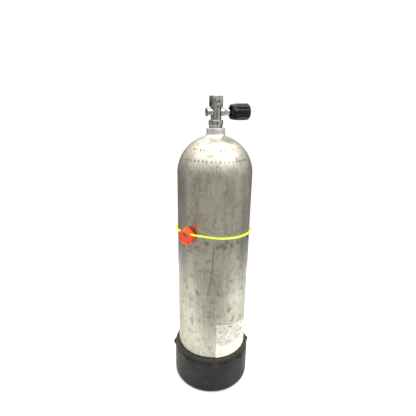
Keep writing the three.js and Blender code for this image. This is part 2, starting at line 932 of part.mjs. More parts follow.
function dustCap() {
  const half = dustCapLength / 2;
  const pocketFloor = cordHoleForward - knotRadius - clearance;
  const body = solid(
    turned(
      [
        [0, -half - dustPlugLength],
        [dustPlugRadius - chamfer, -half - dustPlugLength],
        [dustPlugRadius, -half - dustPlugLength + chamfer],
        [dustPlugRadius, -half],
        [dustCapRadius - dustCapBackEdge, -half],
        [dustCapRadius, -half + dustCapBackEdge],
        ...arc(dustCapRadius - dustCapFrontEdge, half - dustCapFrontEdge, dustCapFrontEdge, 0, 90, 3),
        [dustRecessRadius, half],
        [dustRecessRadius, half - dustRecessDepth],
        [0, half - dustRecessDepth],
      ],
      32,
    ),
  );
  const hole = solid(
    turnedOnStem(
      rodProfile(cordRadius + cordGap, -dustCapRadius - overrun, dustCapRadius + overrun),
      16,
    ).translate(0, cordHoleUp, cordHoleForward),
  );
  const pocket = solid(
    turned(rodProfile(knotRadius + knotGap, pocketFloor, half), 20)
      .translate(0, cordHoleUp - knotPocketDrop, 0),
  );
  return geometryOf(body.subtract(hole).subtract(pocket));
}

// A point on the cord, by its place in the cap's frame.
const inCap = (x, y, z) => new THREE.Vector3(x, y, z).applyMatrix4(capFrame());

// A point on the cord where it lies round the cylinder.
function aroundTank([degrees, rise, heldOff]) {
  const radius = tankRadius + cordGap + cordRadius + heldOff;
  const angle = radians(dustCapTurn + degrees);
  return new THREE.Vector3(
    radius * Math.cos(angle),
    radius * Math.sin(angle),
    dustCapHeight + rise,
  );
}

function elasticCord() {
  const knotEdge = knotRadius + clearance;
  const holeEnd = Math.sqrt(dustCapRadius ** 2 - cordHoleUp ** 2);
  const points = [
    inCap(knotEdge, cordHoleUp, cordHoleForward),
    inCap(0.65 * holeEnd, cordHoleUp, cordHoleForward),
    inCap(holeEnd + 1, cordHoleUp, cordHoleForward - 0.1),
    inCap(holeEnd + 8, cordHoleUp - 0.4, cordHoleForward - 2.1),
    ...cordRoute.map(aroundTank),
    inCap(-holeEnd - 8, cordHoleUp - 0.6, cordHoleForward - 2.1),
    inCap(-holeEnd - 1, cordHoleUp, cordHoleForward - 0.1),
    inCap(-0.65 * holeEnd, cordHoleUp, cordHoleForward),
    inCap(-knotEdge, cordHoleUp, cordHoleForward),
  ];
  const route = new THREE.CatmullRomCurve3(points, false, "centripetal");
  return tubeAlong(route, cordRadius, cordSteps, cordSides);
}

function cordKnot() {
  return new THREE.SphereGeometry(knotRadius, 14, 10);
}

// ---- Assembly ----
const valve = new THREE.Group();
valve.position.set(0, 0, stemHeight);
valve.add(
  piece("valve_body", valveBody(), chrome),
  piece("neck_o_ring", neckORing(), sealRubber),
  piece("dip_tube", dipTube(), whiteNylon),
  piece("outlet_o_ring", outletORing(), sealRubber),
  piece("side_plug", sidePlug(), chrome),
  piece("side_plug_o_ring", sidePlugORing(), sealRubber),
  ...burstPieces(),
  piece("valve_seat", valveSeat(), whiteNylon),
  piece("seat_carrier", seatCarrier(), brass),
  piece("spindle", spindle(), steel),
  piece("thrust_washer", thrustWasher(), whiteNylon),
  piece("stem_o_ring", stemORing(), sealRubber),
  piece("bonnet_gasket", bonnetGasket(), whiteNylon),
  piece("bonnet_nut", bonnetNut(), chrome),
);

const knob = new THREE.Group();
knob.add(
  piece("knob_hub", knobHub(), brass),
  piece("knob_grip", knobGrip(), blackPlastic),
  piece("knob_spring", knobSpring(), steel),
  piece("knob_washer", knobWasher(), steel),
  piece("knob_nut", knobNut(), steel),
  piece("knob_cap", knobCap(), blackPlastic),
);
valve.add(knob);

const tank = new THREE.Group();
tank.add(
  piece("cylinder", cylinderShell(), bareAluminium),
  piece("tank_boot", bootCup(), blackRubber),
  piece("inspection_label", inspectionLabel(), labelPaper),
  valve,
);

const cap = piece("dust_cap", dustCap(), redPlastic);
cap.applyMatrix4(capFrame());
const knot = piece("cord_knot", cordKnot(), neonCord);
knot.position.copy(inCap(0, cordHoleUp, cordHoleForward));

const scubaTank = new THREE.Group();
scubaTank.add(tank, cap, knot, piece("elastic_cord", elasticCord(), neonCord));

export default scubaTank;
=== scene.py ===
"""Scuba cylinder with a yoke pillar valve, rubber boot and dust cap: the finished surfaces and light.

Shapes are given in millimetres and made in metres. +X runs along the valve's stem, the outlet
faces +Y, and the origin is under the middle of the boot.
"""

import math

import bmesh
import bpy
import numpy as np
from mathutils import Matrix, Vector


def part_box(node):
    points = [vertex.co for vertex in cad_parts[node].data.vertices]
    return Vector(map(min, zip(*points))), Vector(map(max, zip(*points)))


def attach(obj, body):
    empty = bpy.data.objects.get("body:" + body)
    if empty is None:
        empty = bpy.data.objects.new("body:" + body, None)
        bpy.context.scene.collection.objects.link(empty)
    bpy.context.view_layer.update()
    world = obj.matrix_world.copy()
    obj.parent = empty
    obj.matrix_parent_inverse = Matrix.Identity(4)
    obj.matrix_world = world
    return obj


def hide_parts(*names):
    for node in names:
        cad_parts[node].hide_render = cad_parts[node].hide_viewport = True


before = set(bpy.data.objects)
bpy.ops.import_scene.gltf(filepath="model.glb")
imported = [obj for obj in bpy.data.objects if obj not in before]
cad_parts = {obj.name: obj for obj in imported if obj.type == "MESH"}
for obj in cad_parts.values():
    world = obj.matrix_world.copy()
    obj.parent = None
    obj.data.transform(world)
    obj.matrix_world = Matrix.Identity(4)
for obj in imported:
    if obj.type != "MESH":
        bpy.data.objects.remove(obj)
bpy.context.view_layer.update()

MM = 0.001
FULL_TURN = 2 * math.pi
ON_AXIS = 1e-6  # a radius below this, in millimetres, is a point on the axis


def low(node):
    """The lowest corner of a node, in millimetres."""
    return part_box(node)[0] / MM


def high(node):
    """The highest corner of a node, in millimetres."""
    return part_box(node)[1] / MM


# ---- sizes, from the frame
TANK_RADIUS = high("cylinder").x
TANK_BOTTOM = low("cylinder").z
NECK_TOP = high("cylinder").z
BOOT_HEIGHT = high("tank_boot").z
HEAD_TOP = high("valve_body").z
OUTLET_FACE = high("valve_body").y
KNOB_START = low("knob_grip").x
KNOB_END = high("knob_grip").x
KNOB_RADIUS = high("knob_grip").y
STEM_HEIGHT = (low("knob_cap").z + high("knob_cap").z) / 2
PLUG_END = low("side_plug").x
LABEL_TOP = high("inspection_label").z
LABEL_BOTTOM = low("inspection_label").z

# ---- sizes, of this object's own
TANK_WALL = 12.5
TANK_BASE = 19
TANK_EDGE = 13
SHOULDER_HEIGHT = 588
NECK_RADIUS = 22
NECK_FILLET = 10
NECK_BORE = 12.5
BOOT_RADIUS = 103
BOOT_WALL = 4.5
BOOT_FLOOR = 8
BOOT_CORNER = 108.4
BOOT_CORNER_HEIGHT = BOOT_HEIGHT - 15
BOOT_CORNER_SPREAD = 12
BOOT_RIM_TAPER = 3.5
BOOT_TURN = 29.3  # degrees, of one of the flange's corners
LABEL_FROM, LABEL_TO = -104, -32  # degrees
LABEL_SIDE_TOP = 195
OUTLET_HEIGHT = 756.5
BURST_Y, BURST_HEIGHT = -7.5, 755.2
CORD_RADIUS = 2.5
CORD_OUT = TANK_RADIUS + 0.6 + CORD_RADIUS
CAP_TURN, CAP_TILT = -148.7, 8  # degrees
CAP_DISTANCE, CAP_HEIGHT = 105.5, 452
CAP_RADIUS, CAP_LENGTH = 19.3, 17
CORD_HOLE_UP, CORD_HOLE_FORWARD = 0.466 * CAP_RADIUS, 0.2


def moved(x, y, z):
    return Matrix.Translation((x, y, z))


UPRIGHT = Matrix.Identity(4)
ALONG_X = Matrix.Rotation(math.pi / 2, 4, "Y")
ON_STEM = moved(0, 0, STEM_HEIGHT) @ ALONG_X
IN_BURST_PORT = moved(0, BURST_Y, BURST_HEIGHT) @ ALONG_X
TOWARDS_OUTLET = moved(0, 0, OUTLET_HEIGHT) @ Matrix.Rotation(-math.pi / 2, 4, "X")


# ---- camera
CAMERA_DISTANCE = 0.82
CAMERA_HEIGHT = 0.77
CAMERA_SIDE = -22  # degrees round the object, from straight in front
CAMERA_DOWN = 18.5
CAMERA_PAN = -1.07
CAMERA_ROLL = 0.91
SENSOR = 36
LENS = 29.34
FROM_CAMERA_SIDE = Matrix.Rotation(math.radians(CAMERA_SIDE), 3, "Z")


def linked(name, data):
    """A new object of this data, in the scene."""
    made = bpy.data.objects.new(name, data)
    bpy.context.scene.collection.objects.link(made)
    return made


def make_camera():
    down, pan, roll = (math.radians(a) for a in (CAMERA_DOWN, CAMERA_PAN, CAMERA_ROLL))
    ahead = Vector((math.sin(pan) * math.cos(down), math.cos(pan) * math.cos(down), -math.sin(down)))
    right = Vector((math.cos(pan), -math.sin(pan), 0))
    up = right.cross(ahead)
    across = math.cos(roll) * right + math.sin(roll) * up
    upright = -math.sin(roll) * right + math.cos(roll) * up
    axes = Matrix([FROM_CAMERA_SIDE @ axis for axis in (across, upright, -ahead)]).transposed().to_4x4()
    place = FROM_CAMERA_SIDE @ Vector((0, -CAMERA_DISTANCE, 0)) + Vector((0, 0, CAMERA_HEIGHT))
    data = bpy.data.cameras.new("camera")
    data.sensor_width = SENSOR
    data.lens = LENS
    camera = linked("camera", data)
    camera.matrix_world = Matrix.Translation(place) @ axes
    bpy.context.scene.camera = camera


make_camera()


# ---- mesh tools
def arc(across, along, radius, start, end, steps):
    """Points on an arc, its angles in degrees."""
    angles = np.radians(np.linspace(start, end, steps + 1))
    return [(across + radius * math.cos(a), along + radius * math.sin(a)) for a in angles]


def softened(points, radius, steps=3, closed=False):
    """The outline with each corner rounded, but not its ends unless it is closed."""
    points = [Vector(p) for p in points]
    count = len(points)
    made = []
    for i, corner in enumerate(points):
        if not closed and i in (0, count - 1):
            made.append(tuple(corner))
            continue
        before, after = points[i - 1] - corner, points[(i + 1) % count] - corner
        reach = min(radius, 0.45 * before.length, 0.45 * after.length)
        turn = abs(math.pi - before.angle(after))
        if turn < math.radians(12):
            made.append(tuple(corner))
            continue
        start, end = corner + before.normalized() * reach, corner + after.normalized() * reach
        for k in range(steps + 1):
            t = k / steps
            made.append(tuple((1 - t) ** 2 * start + 2 * t * (1 - t) * corner + t * t * end))
    return made


def bar(radius, start, end):
    """The outline of a plain round bar."""
    return [(0, start), (radius, start), (radius, end), (0, end)]


def mesh_object(name, points, faces, sharp=35):
    """A new object from points in millimetres, its normals out and its sharp edges kept."""
    mesh = bpy.data.meshes.new(name)
    mesh.from_pydata([Vector(p) * MM for p in points], [], faces)
    mesh.validate()
    return smoothed(linked(name, mesh), sharp)


def smoothed(made, sharp=35):
    """Normals recalculated to point out, and smooth shading up to that angle, in degrees."""
    work = bmesh.new()
    work.from_mesh(made.data)
    bmesh.ops.remove_doubles(work, verts=work.verts, dist=1e-6)
    bmesh.ops.recalc_face_normals(work, faces=work.faces)
    work.to_mesh(made.data)
    work.free()
    made.data.shade_smooth()
    made.data.set_sharp_from_angle(angle=math.radians(sharp))
    return made


def stitched(rows):
    """Faces between each row of point numbers and the next, triangles where a row is one point."""
    faces = []
    for lower, upper in zip(rows, rows[1:]):
        for i in range(len(lower)):
            j = (i + 1) % len(lower)
            face = list(dict.fromkeys((lower[i], lower[j], upper[j], upper[i])))
            if len(face) > 2:
                faces.append(face)
    return faces


def turned(profile, angles, place=UPRIGHT, ring=False, reach=None):
    """Points and faces of (radius, height) points turned about the Z axis of a place.

    A ring joins the profile's end to its start. Reach gives the radius at an angle, by the
    point's number in the profile and its radius and height.
    """
    points, rows = [], []
    for number, (radius, height) in enumerate(profile):
        if radius < ON_AXIS:
            rows.append([len(points)] * len(angles))
            points.append(place @ Vector((0, 0, height)))
            continue
        rows.append(range(len(points), len(points) + len(angles)))
        for a in angles:
            r = reach(number, radius, height, a) if reach else radius
            points.append(place @ Vector((r * math.cos(a), r * math.sin(a), height)))
    return points, stitched([*rows, rows[0]] if ring else rows)


def lathe(name, profile, place=UPRIGHT, sides=96, ring=False):
    """A closed solid turned about the Z axis of its place from (radius, height) points."""
    angles = np.linspace(0, FULL_TURN, sides, endpoint=False)
    return mesh_object(name, *turned(profile, angles, place, ring))


def band(name, inner, outer, start, end, place, edge):
    """A plain ring with softened edges."""
    outline = [(inner, start), (outer, start), (outer, end), (inner, end)]
    return lathe(name, softened(outline, edge, closed=True), place, 64, ring=True)


def round_ring(name, middle_radius, middle, section, place=UPRIGHT):
    """A rubber ring of round section."""
    return lathe(name, arc(middle_radius, middle, section / 2, 0, 360, 20)[:-1], place, ring=True)


def combine(main, operation, *others):
    """Joins or cuts solids. The others are used up."""
    for other in others:
        step = main.modifiers.new("step", "BOOLEAN")
        step.operation = operation
        step.solver = "EXACT"
        step.object = other
        applied(main)
        bpy.data.objects.remove(other)
    return smoothed(main)


def applied(made):
    """Turns an object's modifiers into its plain mesh."""
    graph = bpy.context.evaluated_depsgraph_get()
    mesh = bpy.data.meshes.new_from_object(made.evaluated_get(graph))
    made.modifiers.clear()
    made.data = mesh
    return made


def tube(name, line, radius, sides):
    """A round tube with flat ends along points in millimetres, mapped round it and along it."""
    line = [Vector(p) for p in line]
    last = len(line) - 1
    tangents = [(line[min(i + 1, last)] - line[max(i - 1, 0)]).normalized() for i in range(last + 1)]
    side = tangents[0].orthogonal().normalized()
    points, lengths, travelled = [], [], 0
    for i, (point, tangent) in enumerate(zip(line, tangents)):
        travelled += (point - line[i - 1]).length if i else 0
        lengths.append(travelled)
        side = (side - tangent * side.dot(tangent)).normalized()
        other = tangent.cross(side)
        for k in range(sides):
            angle = FULL_TURN * k / sides
            points.append(point + radius * (math.cos(angle) * side + math.sin(angle) * other))
    rows = [range(i * sides, (i + 1) * sides) for i in range(last + 1)]
    faces, corners = stitched(rows), []
    for start, end in zip(lengths, lengths[1:]):
        for k in range(sides):
            one, two = k / sides, (k + 1) / sides
            corners += [(one, start), (two, start), (two, end), (one, end)]
    for row, turn in ((0, -1), (last, 1)):
        faces.append(list(rows[row])[::turn])
        corners += [(0, lengths[row])] * sides
    mesh = bpy.data.meshes.new(name)
    mesh.from_pydata([p * MM for p in points], [], faces)
    layer = mesh.uv_layers.new(name="along")
    for loop, (u, v) in zip(layer.data, corners):
        loop.uv = (u, v * MM)
    mesh.shade_smooth()
    return linked(name, mesh)


def spline(points, spacing):
    """A smooth line through points, with a point at each spacing."""
    points = [Vector(p) for p in points]
    ends = [2 * points[0] - points[1], *points, 2 * points[-1] - points[-2]]
    line = []
    for a, b, c, d in zip(ends, ends[1:], ends[2:], ends[3:]):
        knots = [0.0]
        for one, two in ((a, b), (b, c), (c, d)):
            knots.append(knots[-1] + math.sqrt((two - one).length))
        steps = max(1, round((c - b).length / spacing))
        for k in range(steps):
            t = knots[1] + (knots[2] - knots[1]) * k / steps
            line.append(between(knots, (a, b, c, d), t))
    return line + [points[-1]]


def between(knots, corners, t):
    """A point of a centripetal Catmull-Rom span."""

    def blend(one, two, start, end):
        return one * ((end - t) / (end - start)) + two * ((t - start) / (end - start))

    k0, k1, k2, k3 = knots
    a, b, c, d = corners
    ab, bc, cd = blend(a, b, k0, k1), blend(b, c, k1, k2), blend(c, d, k2, k3)
    return blend(blend(ab, bc, k0, k2), blend(bc, cd, k1, k3), k1, k2)


# ---- node tools
def feed(socket, value):
    """Links an input to another node's socket, or sets it to a value."""
    if isinstance(value, bpy.types.NodeSocket):
        socket.id_data.links.new(value, socket)
    else:
        socket.default_value = value


def add(tree, kind, inputs=(), **settings):
    """A new node with its settings and inputs, each input a value or another node's socket."""
    node = tree.nodes.new(kind)
    for key, value in settings.items():
        setattr(node, key, value)
    for socket, value in dict(inputs).items():
        feed(node.inputs[socket], value)
    return node


def maths(operation, *values):
    """The result of a Math node, in the tree of the first socket among its values."""
    tree = next(v.id_data for v in values if isinstance(v, bpy.types.NodeSocket))
    return add(tree, "ShaderNodeMath", dict(enumerate(values)), operation=operation).outputs[0]


def plus(one, two):
    return maths("ADD", one, two)


def minus(one, two):
    return maths("SUBTRACT", one, two)


def times(one, two):
    return maths("MULTIPLY", one, two)


def vector(tree, x=0.0, y=0.0, z=0.0):
    return add(tree, "ShaderNodeCombineXYZ", {0: x, 1: y, 2: z}).outputs[0]


def split(place):
    """The X, Y and Z of a vector."""
    return add(place.id_data, "ShaderNodeSeparateXYZ", {0: place}).outputs


def stepped(value, start, end):
    """0 before start and 1 past end, with a smooth step between."""
    inputs = {"Value": value, "From Min": start, "From Max": end}
    return add(value.id_data, "ShaderNodeMapRange", inputs, interpolation_type="SMOOTHSTEP").outputs["Result"]


def mixed(share, one, two):
    """Two colours mixed."""
    node = add(share.id_data, "ShaderNodeMix", {0: share}, data_type="RGBA")
    for socket, value in ((6, one), (7, two)):
        feed(node.inputs[socket], (*value, 1) if isinstance(value, tuple) else value)
    return node.outputs[2]


def layered(colour, *layers):
    """A colour with others laid over it, each given as (mask, strength, colour)."""
    for mask, strength, other in layers:
        colour = mixed(times(mask, strength), colour, other)
    return colour


def place_on(tree):
    """The place on the object that is shaded."""
    return add(tree, "ShaderNodeTexCoord").outputs["Object"]


def noise(place, scale, detail, **inputs):
    """The value of a noise texture."""
    inputs |= {"Vector": place, "Scale": scale, "Detail": detail}
    return add(place.id_data, "ShaderNodeTexNoise", inputs).outputs["Fac"]


def group_ends(tree):
    """A group's inputs, and its outputs to feed."""
    return tree.nodes.new("NodeGroupInput").outputs, tree.nodes.new("NodeGroupOutput").inputs


def shader_group(name, inputs, outputs=("Mask",)):
    """An empty shader node group with named number sockets; gives the tree, inputs and outputs."""
    tree = bpy.data.node_groups.new(name, "ShaderNodeTree")
    for way, labels in (("INPUT", inputs), ("OUTPUT", outputs)):
        for label in labels:
            tree.interface.new_socket(label, in_out=way, socket_type="NodeSocketFloat")
    return tree, *group_ends(tree)


def place_group(tree, group, **values):
    """The outputs of a group's node in a material, its inputs set by name and otherwise 0."""
    node = add(tree, "ShaderNodeGroup", node_tree=group)
    for key, value in values.items():
        feed(node.inputs[key], value)
    return node.outputs


def mask_of(tree, group, **values):
    return place_group(tree, group, **values)["Mask"]


def new_material(name, base, roughness, metallic=0.0, **others):
    """A material and its tree, with the inputs of its Principled BSDF set, _ for a space."""
    material = bpy.data.materials.new(name)
    material.use_nodes = True
    tree = material.node_tree
    inputs = tree.nodes["Principled BSDF"].inputs
    values = {"Base_Color": (*base, 1), "Roughness": roughness, "Metallic": metallic, **others}
    for key, value in values.items():
        inputs[key.replace("_", " ")].default_value = value
    return material, tree


def coated(material, colour, roughness, height, relief):
    """Gives a material its colour and roughness, and bumps of relief millimetres at height 1."""
    tree = material.node_tree
    bump = {"Height": height, "Distance": relief * MM, "Strength": 1.0}
    normal = add(tree, "ShaderNodeBump", bump).outputs["Normal"]
    values = {"Base Color": colour, "Roughness": roughness, "Normal": normal}
    for key, value in values.items():
        feed(tree.nodes["Principled BSDF"].inputs[key], value)
    return material


# ---- shared effects
def streaks_group():
    """Long streaks along Z."""
    tree, given, out = shader_group("vertical_streaks", ("Density", "Stretch"))
    squashed = vector(tree, 1.0, 1.0, maths("DIVIDE", 1.0, given["Stretch"]))
    scaled = add(tree, "ShaderNodeVectorMath", {0: place_on(tree), 1: squashed}, operation="MULTIPLY")
    feed(out["Mask"], stepped(noise(scaled.outputs[0], given["Density"], 3.0, Roughness=0.6), 0.3, 0.7))
    return tree


def clouds_group():
    """Soft patches, in another pattern for another seed."""
    tree, given, out = shader_group("clouds", ("Scale", "Detail", "Low", "High", "Seed"))
    inputs = {"Vector": place_on(tree), "W": given["Seed"]}
    inputs |= {key: given[key] for key in ("Scale", "Detail")}
    cloud = add(tree, "ShaderNodeTexNoise", inputs, noise_dimensions="4D").outputs["Fac"]
    feed(out["Mask"], stepped(cloud, given["Low"], given["High"]))
    return tree


def specks_group():
    """Small round specks, in a share of the cells."""
    tree, given, out = shader_group("specks", ("Scale", "Size", "Share"))
    cells = add(tree, "ShaderNodeTexVoronoi", {"Vector": place_on(tree), "Scale": given["Scale"]})
    near = stepped(cells.outputs["Distance"], given["Size"], 0.0)
    feed(out["Mask"], times(near, maths("LESS_THAN", cells.outputs["Color"], given["Share"])))
    return tree


def worn_edges_group():
    """Where a surface turns outwards sharply."""
    tree, given, out = shader_group("worn_edges", ("Start", "End"))
    bend = add(tree, "ShaderNodeNewGeometry").outputs["Pointiness"]
    feed(out["Mask"], stepped(bend, given["Start"], given["End"]))
    return tree


def grain_group():
    """The fine grain of a moulded or cast skin."""
    tree, given, out = shader_group("grain", ("Scale", "Coarse"), ("Height", "Mask"))
    place = place_on(tree)
    coarse = noise(place, given["Coarse"], 5.0)
    feed(out["Height"], plus(noise(place, given["Scale"], 2.0), times(coarse, 0.6)))
    feed(out["Mask"], stepped(coarse, 0.4, 0.62))
    return tree


SCRATCH_INPUTS = ("Angle", "Lean", "Bow", "Low", "High", "Width")


def round_scratch_group():
    """A scratch down a round wall, by its angle at the top, in degrees, and its heights, in metres.

    The angle changes by the lean for each metre down, and by the bow for each metre squared.
    """
    tree, given, out = shader_group("round_scratch", SCRATCH_INPUTS)
    place = place_on(tree)
    x, y, z = split(place)
    fall = minus(given["High"], z)
    bend = plus(times(given["Lean"], fall), times(given["Bow"], times(fall, fall)))
    drift = times(minus(noise(place, 25.0, 3.0), 0.5), 1.6)
    angle = plus(maths("DEGREES", maths("ARCTAN2", y, x)), drift)
    across = stepped(maths("ABSOLUTE", minus(angle, plus(given["Angle"], bend))), given["Width"], 0.0)
    rising = stepped(z, given["Low"], times(0.5, plus(given["Low"], given["High"])))
    inside = times(rising, stepped(z, given["High"], minus(given["High"], 0.02)))
    broken = stepped(noise(place, 140.0, 3.0), 0.32, 0.52)
    feed(out["Mask"], times(broken, times(across, inside)))
    return tree


STREAKS = streaks_group()
CLOUDS = clouds_group()
SPECKS = specks_group()
WORN_EDGES = worn_edges_group()
GRAIN = grain_group()
ROUND_SCRATCH = round_scratch_group()


# ---- materials
SCRATCHES = [  # in the order of SCRATCH_INPUTS
    (-110.2, -20.0, -255.0, 0.245, 0.44, 1.2),
    (-109.2, 0.0, 0.0, 0.480, 0.520, 0.9),
    (-53.0, 20.0, 0.0, 0.572, 0.610, 1.6),
    (-125.0, 6.0, 0.0, 0.30, 0.39, 0.4),
    (-84.0, -5.0, 0.0, 0.46, 0.56, 0.35),
    (60.0, 9.0, 40.0, 0.22, 0.5, 0.5),
    (150.0, -14.0, 0.0, 0.35, 0.47, 0.5),
]


def weathered_aluminium():
    """Dull streaked metal with pits, scratches, a dirty belt under the cord and a machined neck."""
    tint = (0.65, 0.65, 0.63, 1)
    material, tree = new_material("weathered_aluminium", (0.5, 0.49, 0.45), 0.4, 1.0, Specular_Tint=tint)
    fine = mask_of(tree, STREAKS, Density=420.0, Stretch=28.0)
    broad = mask_of(tree, STREAKS, Density=110.0, Stretch=14.0)
    bands = mask_of(tree, STREAKS, Density=45.0, Stretch=7.0)
    mottle = mask_of(tree, STREAKS, Density=190.0, Stretch=2.0)
    patches = mask_of(tree, CLOUDS, Scale=14.0, Detail=6.0, Low=0.38, High=0.68)
    blotches = mask_of(tree, CLOUDS, Scale=70.0, Detail=6.0, Low=0.5, High=0.72, Seed=3.0)
    scuffs = mask_of(tree, CLOUDS, Scale=85.0, Detail=5.0, Low=0.46, High=0.6, Seed=5.0)
    handled = mask_of(tree, CLOUDS, Scale=30.0, Detail=5.0, Low=0.36, High=0.56, Seed=6.0)
    pits = mask_of(tree, SPECKS, Scale=170.0, Size=0.32, Share=0.13)
    spots = mask_of(tree, SPECKS, Scale=48.0, Size=0.15, Share=0.4)
    nicks = mask_of(tree, SPECKS, Scale=270.0, Size=0.38, Share=0.26)
    tarnish = mask_of(tree, ROUND_SCRATCH, Angle=-163.0, Low=0.42, High=0.67, Width=13.0)
    height = split(place_on(tree))[2]
    belt = times(stepped(height, 0.405, 0.425), stepped(height, 0.448, 0.436))
    machined = stepped(height, 0.670, 0.688)
    nicks = times(nicks, times(handled, stepped(height, 0.36, 0.46)))
    marked = maths("MAXIMUM", maths("MAXIMUM", pits, spots), nicks)
    for scratch in SCRATCHES:
        scratch = mask_of(tree, ROUND_SCRATCH, **dict(zip(SCRATCH_INPUTS, scratch)))
        marked = maths("MAXIMUM", marked, scratch)
    colour = layered(
        mixed(fine, (0.40, 0.38, 0.325), (0.64, 0.615, 0.53)),
        (broad, 0.4, (0.37, 0.35, 0.29)),
        (bands, 0.35, (0.66, 0.635, 0.55)),
        (mottle, 0.55, (0.32, 0.30, 0.245)),
        (patches, 0.4, (0.66, 0.64, 0.55)),
        (blotches, 0.7, (0.25, 0.235, 0.19)),
        (times(belt, scuffs), 0.6, (0.12, 0.11, 0.085)),
        (tarnish, 0.5, (0.38, 0.27, 0.22)),
        (marked, 0.8, (0.07, 0.065, 0.05)),
        (machined, 0.85, (0.86, 0.86, 0.85)),
    )
    roughness = plus(plus(0.34, times(fine, 0.08)), times(blotches, 0.14))
    relief = minus(minus(times(fine, 0.35), marked), times(blotches, 0.3))
    return coated(material, colour, plus(roughness, times(marked, 0.2)), relief, 0.06)


def scuffed_rubber():
    """Black rubber, dusty and plum or blue in patches, paler at its rim and edges."""
    material, tree = new_material("scuffed_rubber", (0.012,) * 3, 0.62, Specular_IOR_Level=0.25)
    grain = place_group(tree, GRAIN, Scale=1400.0, Coarse=60.0)
    dust = mask_of(tree, CLOUDS, Scale=26.0, Detail=6.0, Low=0.42, High=0.7)
    haze = mask_of(tree, CLOUDS, Scale=34.0, Detail=4.0, Low=0.5, High=0.7, Seed=4.0)
    plum = mask_of(tree, CLOUDS, Scale=22.0, Detail=4.0, Low=0.52, High=0.66, Seed=8.0)
    scuffs = mask_of(tree, SPECKS, Scale=90.0, Size=0.3, Share=0.1)
    edges = mask_of(tree, WORN_EDGES, Start=0.51, End=0.58)
    rim = maths("MAXIMUM", edges, stepped(split(place_on(tree))[2], 0.094, 0.104))
    colour = layered(
        mixed(dust, (0.004, 0.004, 0.0035), (0.019, 0.017, 0.019)),
        (haze, 0.7, (0.018, 0.023, 0.036)),
        (plum, 0.35, (0.030, 0.020, 0.025)),
        (rim, 0.7, (0.035, 0.035, 0.02)),
        (scuffs, 0.25, (0.1, 0.1, 0.1)),
    )
    return coated(material, colour, plus(0.5, times(dust, 0.2)), grain["Height"], 0.12)


def worn_paper():
    """Stained paper, bare in spots, cleaner along its foot, with one patch of dark specks."""
    material, tree = new_material("worn_paper", (0.72, 0.69, 0.6), 0.8)
    stains = mask_of(tree, CLOUDS, Scale=45.0, Detail=6.0, Low=0.42, High=0.62, Seed=1.0)
    bare = mask_of(tree, CLOUDS, Scale=120.0, Detail=5.0, Low=0.56, High=0.6, Seed=7.0)
    dots = mask_of(tree, CLOUDS, Scale=320.0, Detail=3.0, Low=0.5, High=0.56, Seed=9.0)
    specks = mask_of(tree, SPECKS, Scale=260.0, Size=0.34, Share=0.12)
    patch = mask_of(tree, ROUND_SCRATCH, Angle=-96.0, Low=0.108, High=0.138, Width=6.0)
    foot = stepped(split(place_on(tree))[2], 0.146, 0.140)
    colour = layered(
        mixed(stains, (0.60, 0.585, 0.53), (0.78, 0.76, 0.68)),
        (bare, minus(1.0, foot), (0.30, 0.29, 0.26)),
        (foot, 1.0, (0.92, 0.89, 0.72)),
        (specks, 0.6, (0.14, 0.12, 0.10)),
        (dots, patch, (0.10, 0.085, 0.06)),
    )
    return coated(material, colour, plus(0.6, times(stains, 0.25)), minus(stains, bare), 0.12)


def worn_chrome():
    """Hazy chrome, with brass that shows through at its edges, and a dark edge tint that paints dark
    reflection along its outlines.
    """
    # The dark edge tint darkens the reflections at grazing angles: painted dark reflection along the chrome's
    # outlines.
    tint = (0.12, 0.12, 0.11, 1)
    material, tree = new_material("worn_chrome", (0.62, 0.62, 0.6), 0.14, 1.0, Specular_Tint=tint)
    haze = mask_of(tree, CLOUDS, Scale=90.0, Detail=6.0, Low=0.4, High=0.7)
    specks = mask_of(tree, SPECKS, Scale=700.0, Size=0.3, Share=0.07)
    edges = mask_of(tree, WORN_EDGES, Start=0.54, End=0.66)
    colour = layered(
        (0.50, 0.51, 0.48),
        (haze, 0.5, (0.27, 0.28, 0.26)),
        (edges, 0.35, (0.60, 0.52, 0.36)),
        (specks, 0.6, (0.2, 0.19, 0.16)),
    )
    return coated(material, colour, plus(0.05, times(haze, 0.08)), haze, 0.02)


def moulded(name, base, shade, roughness, relief=0.03, gloss=0.5):
    """A moulded plastic or rubber that goes from the base colour to the shade in soft patches."""
    material, tree = new_material(name, base, roughness, Specular_IOR_Level=gloss)
    grain = place_group(tree, GRAIN, Scale=1100.0, Coarse=70.0)
    scuffs = mask_of(tree, CLOUDS, Scale=160.0, Detail=5.0, Low=0.6, High=0.75, Seed=2.0)
    rough = plus(roughness, times(scuffs, 0.18))
    return coated(material, mixed(grain["Mask"], base, shade), rough, grain["Height"], relief)


def turned_metal(name, base, shade, roughness):
    """A turned metal piece, with a soft change of colour and fine marks."""
    material, tree = new_material(name, base, roughness, 1.0)
    marks = place_group(tree, GRAIN, Scale=2400.0, Coarse=160.0)
    rough = plus(roughness, times(marks["Mask"], 0.1))
    return coated(material, mixed(marks["Mask"], base, shade), rough, marks["Height"], 0.01)


STRANDS = 8.0  # of each set, round the cord
STRAND_TURNS = 520.0  # strands of a set passed in a metre along the cord


def braided_elastic():
    """A woven cover: two sets of strands that cross round the cord, on its own map."""
    roughness = 0.75
    material, tree = new_material("braided_elastic", (0.6, 0.85, 0.03), roughness, Sheen_Weight=0.3)
    across, along, _ = split(add(tree, "ShaderNodeUVMap", uv_map="along").outputs["UV"])
    across, along = times(across, STRANDS), times(along, STRAND_TURNS)
    one, two = (
        maths("ABSOLUTE", maths("SINE", times(maths(way, across, along), math.pi)))
        for way in ("ADD", "SUBTRACT")
    )
    weave = times(one, two)
    worn = mask_of(tree, CLOUDS, Scale=60.0, Detail=4.0, Low=0.4, High=0.7)
    # The colour goes darker where the weave is low, in the hollows between the strands, and paler on the
    # raised strands: painted shade.
    colour = layered(mixed(weave, (0.70, 0.90, 0.05), (0.90, 1.0, 0.16)), (worn, 0.2, (0.82, 0.90, 0.12)))
    return coated(material, colour, roughness, weave, 0.25)


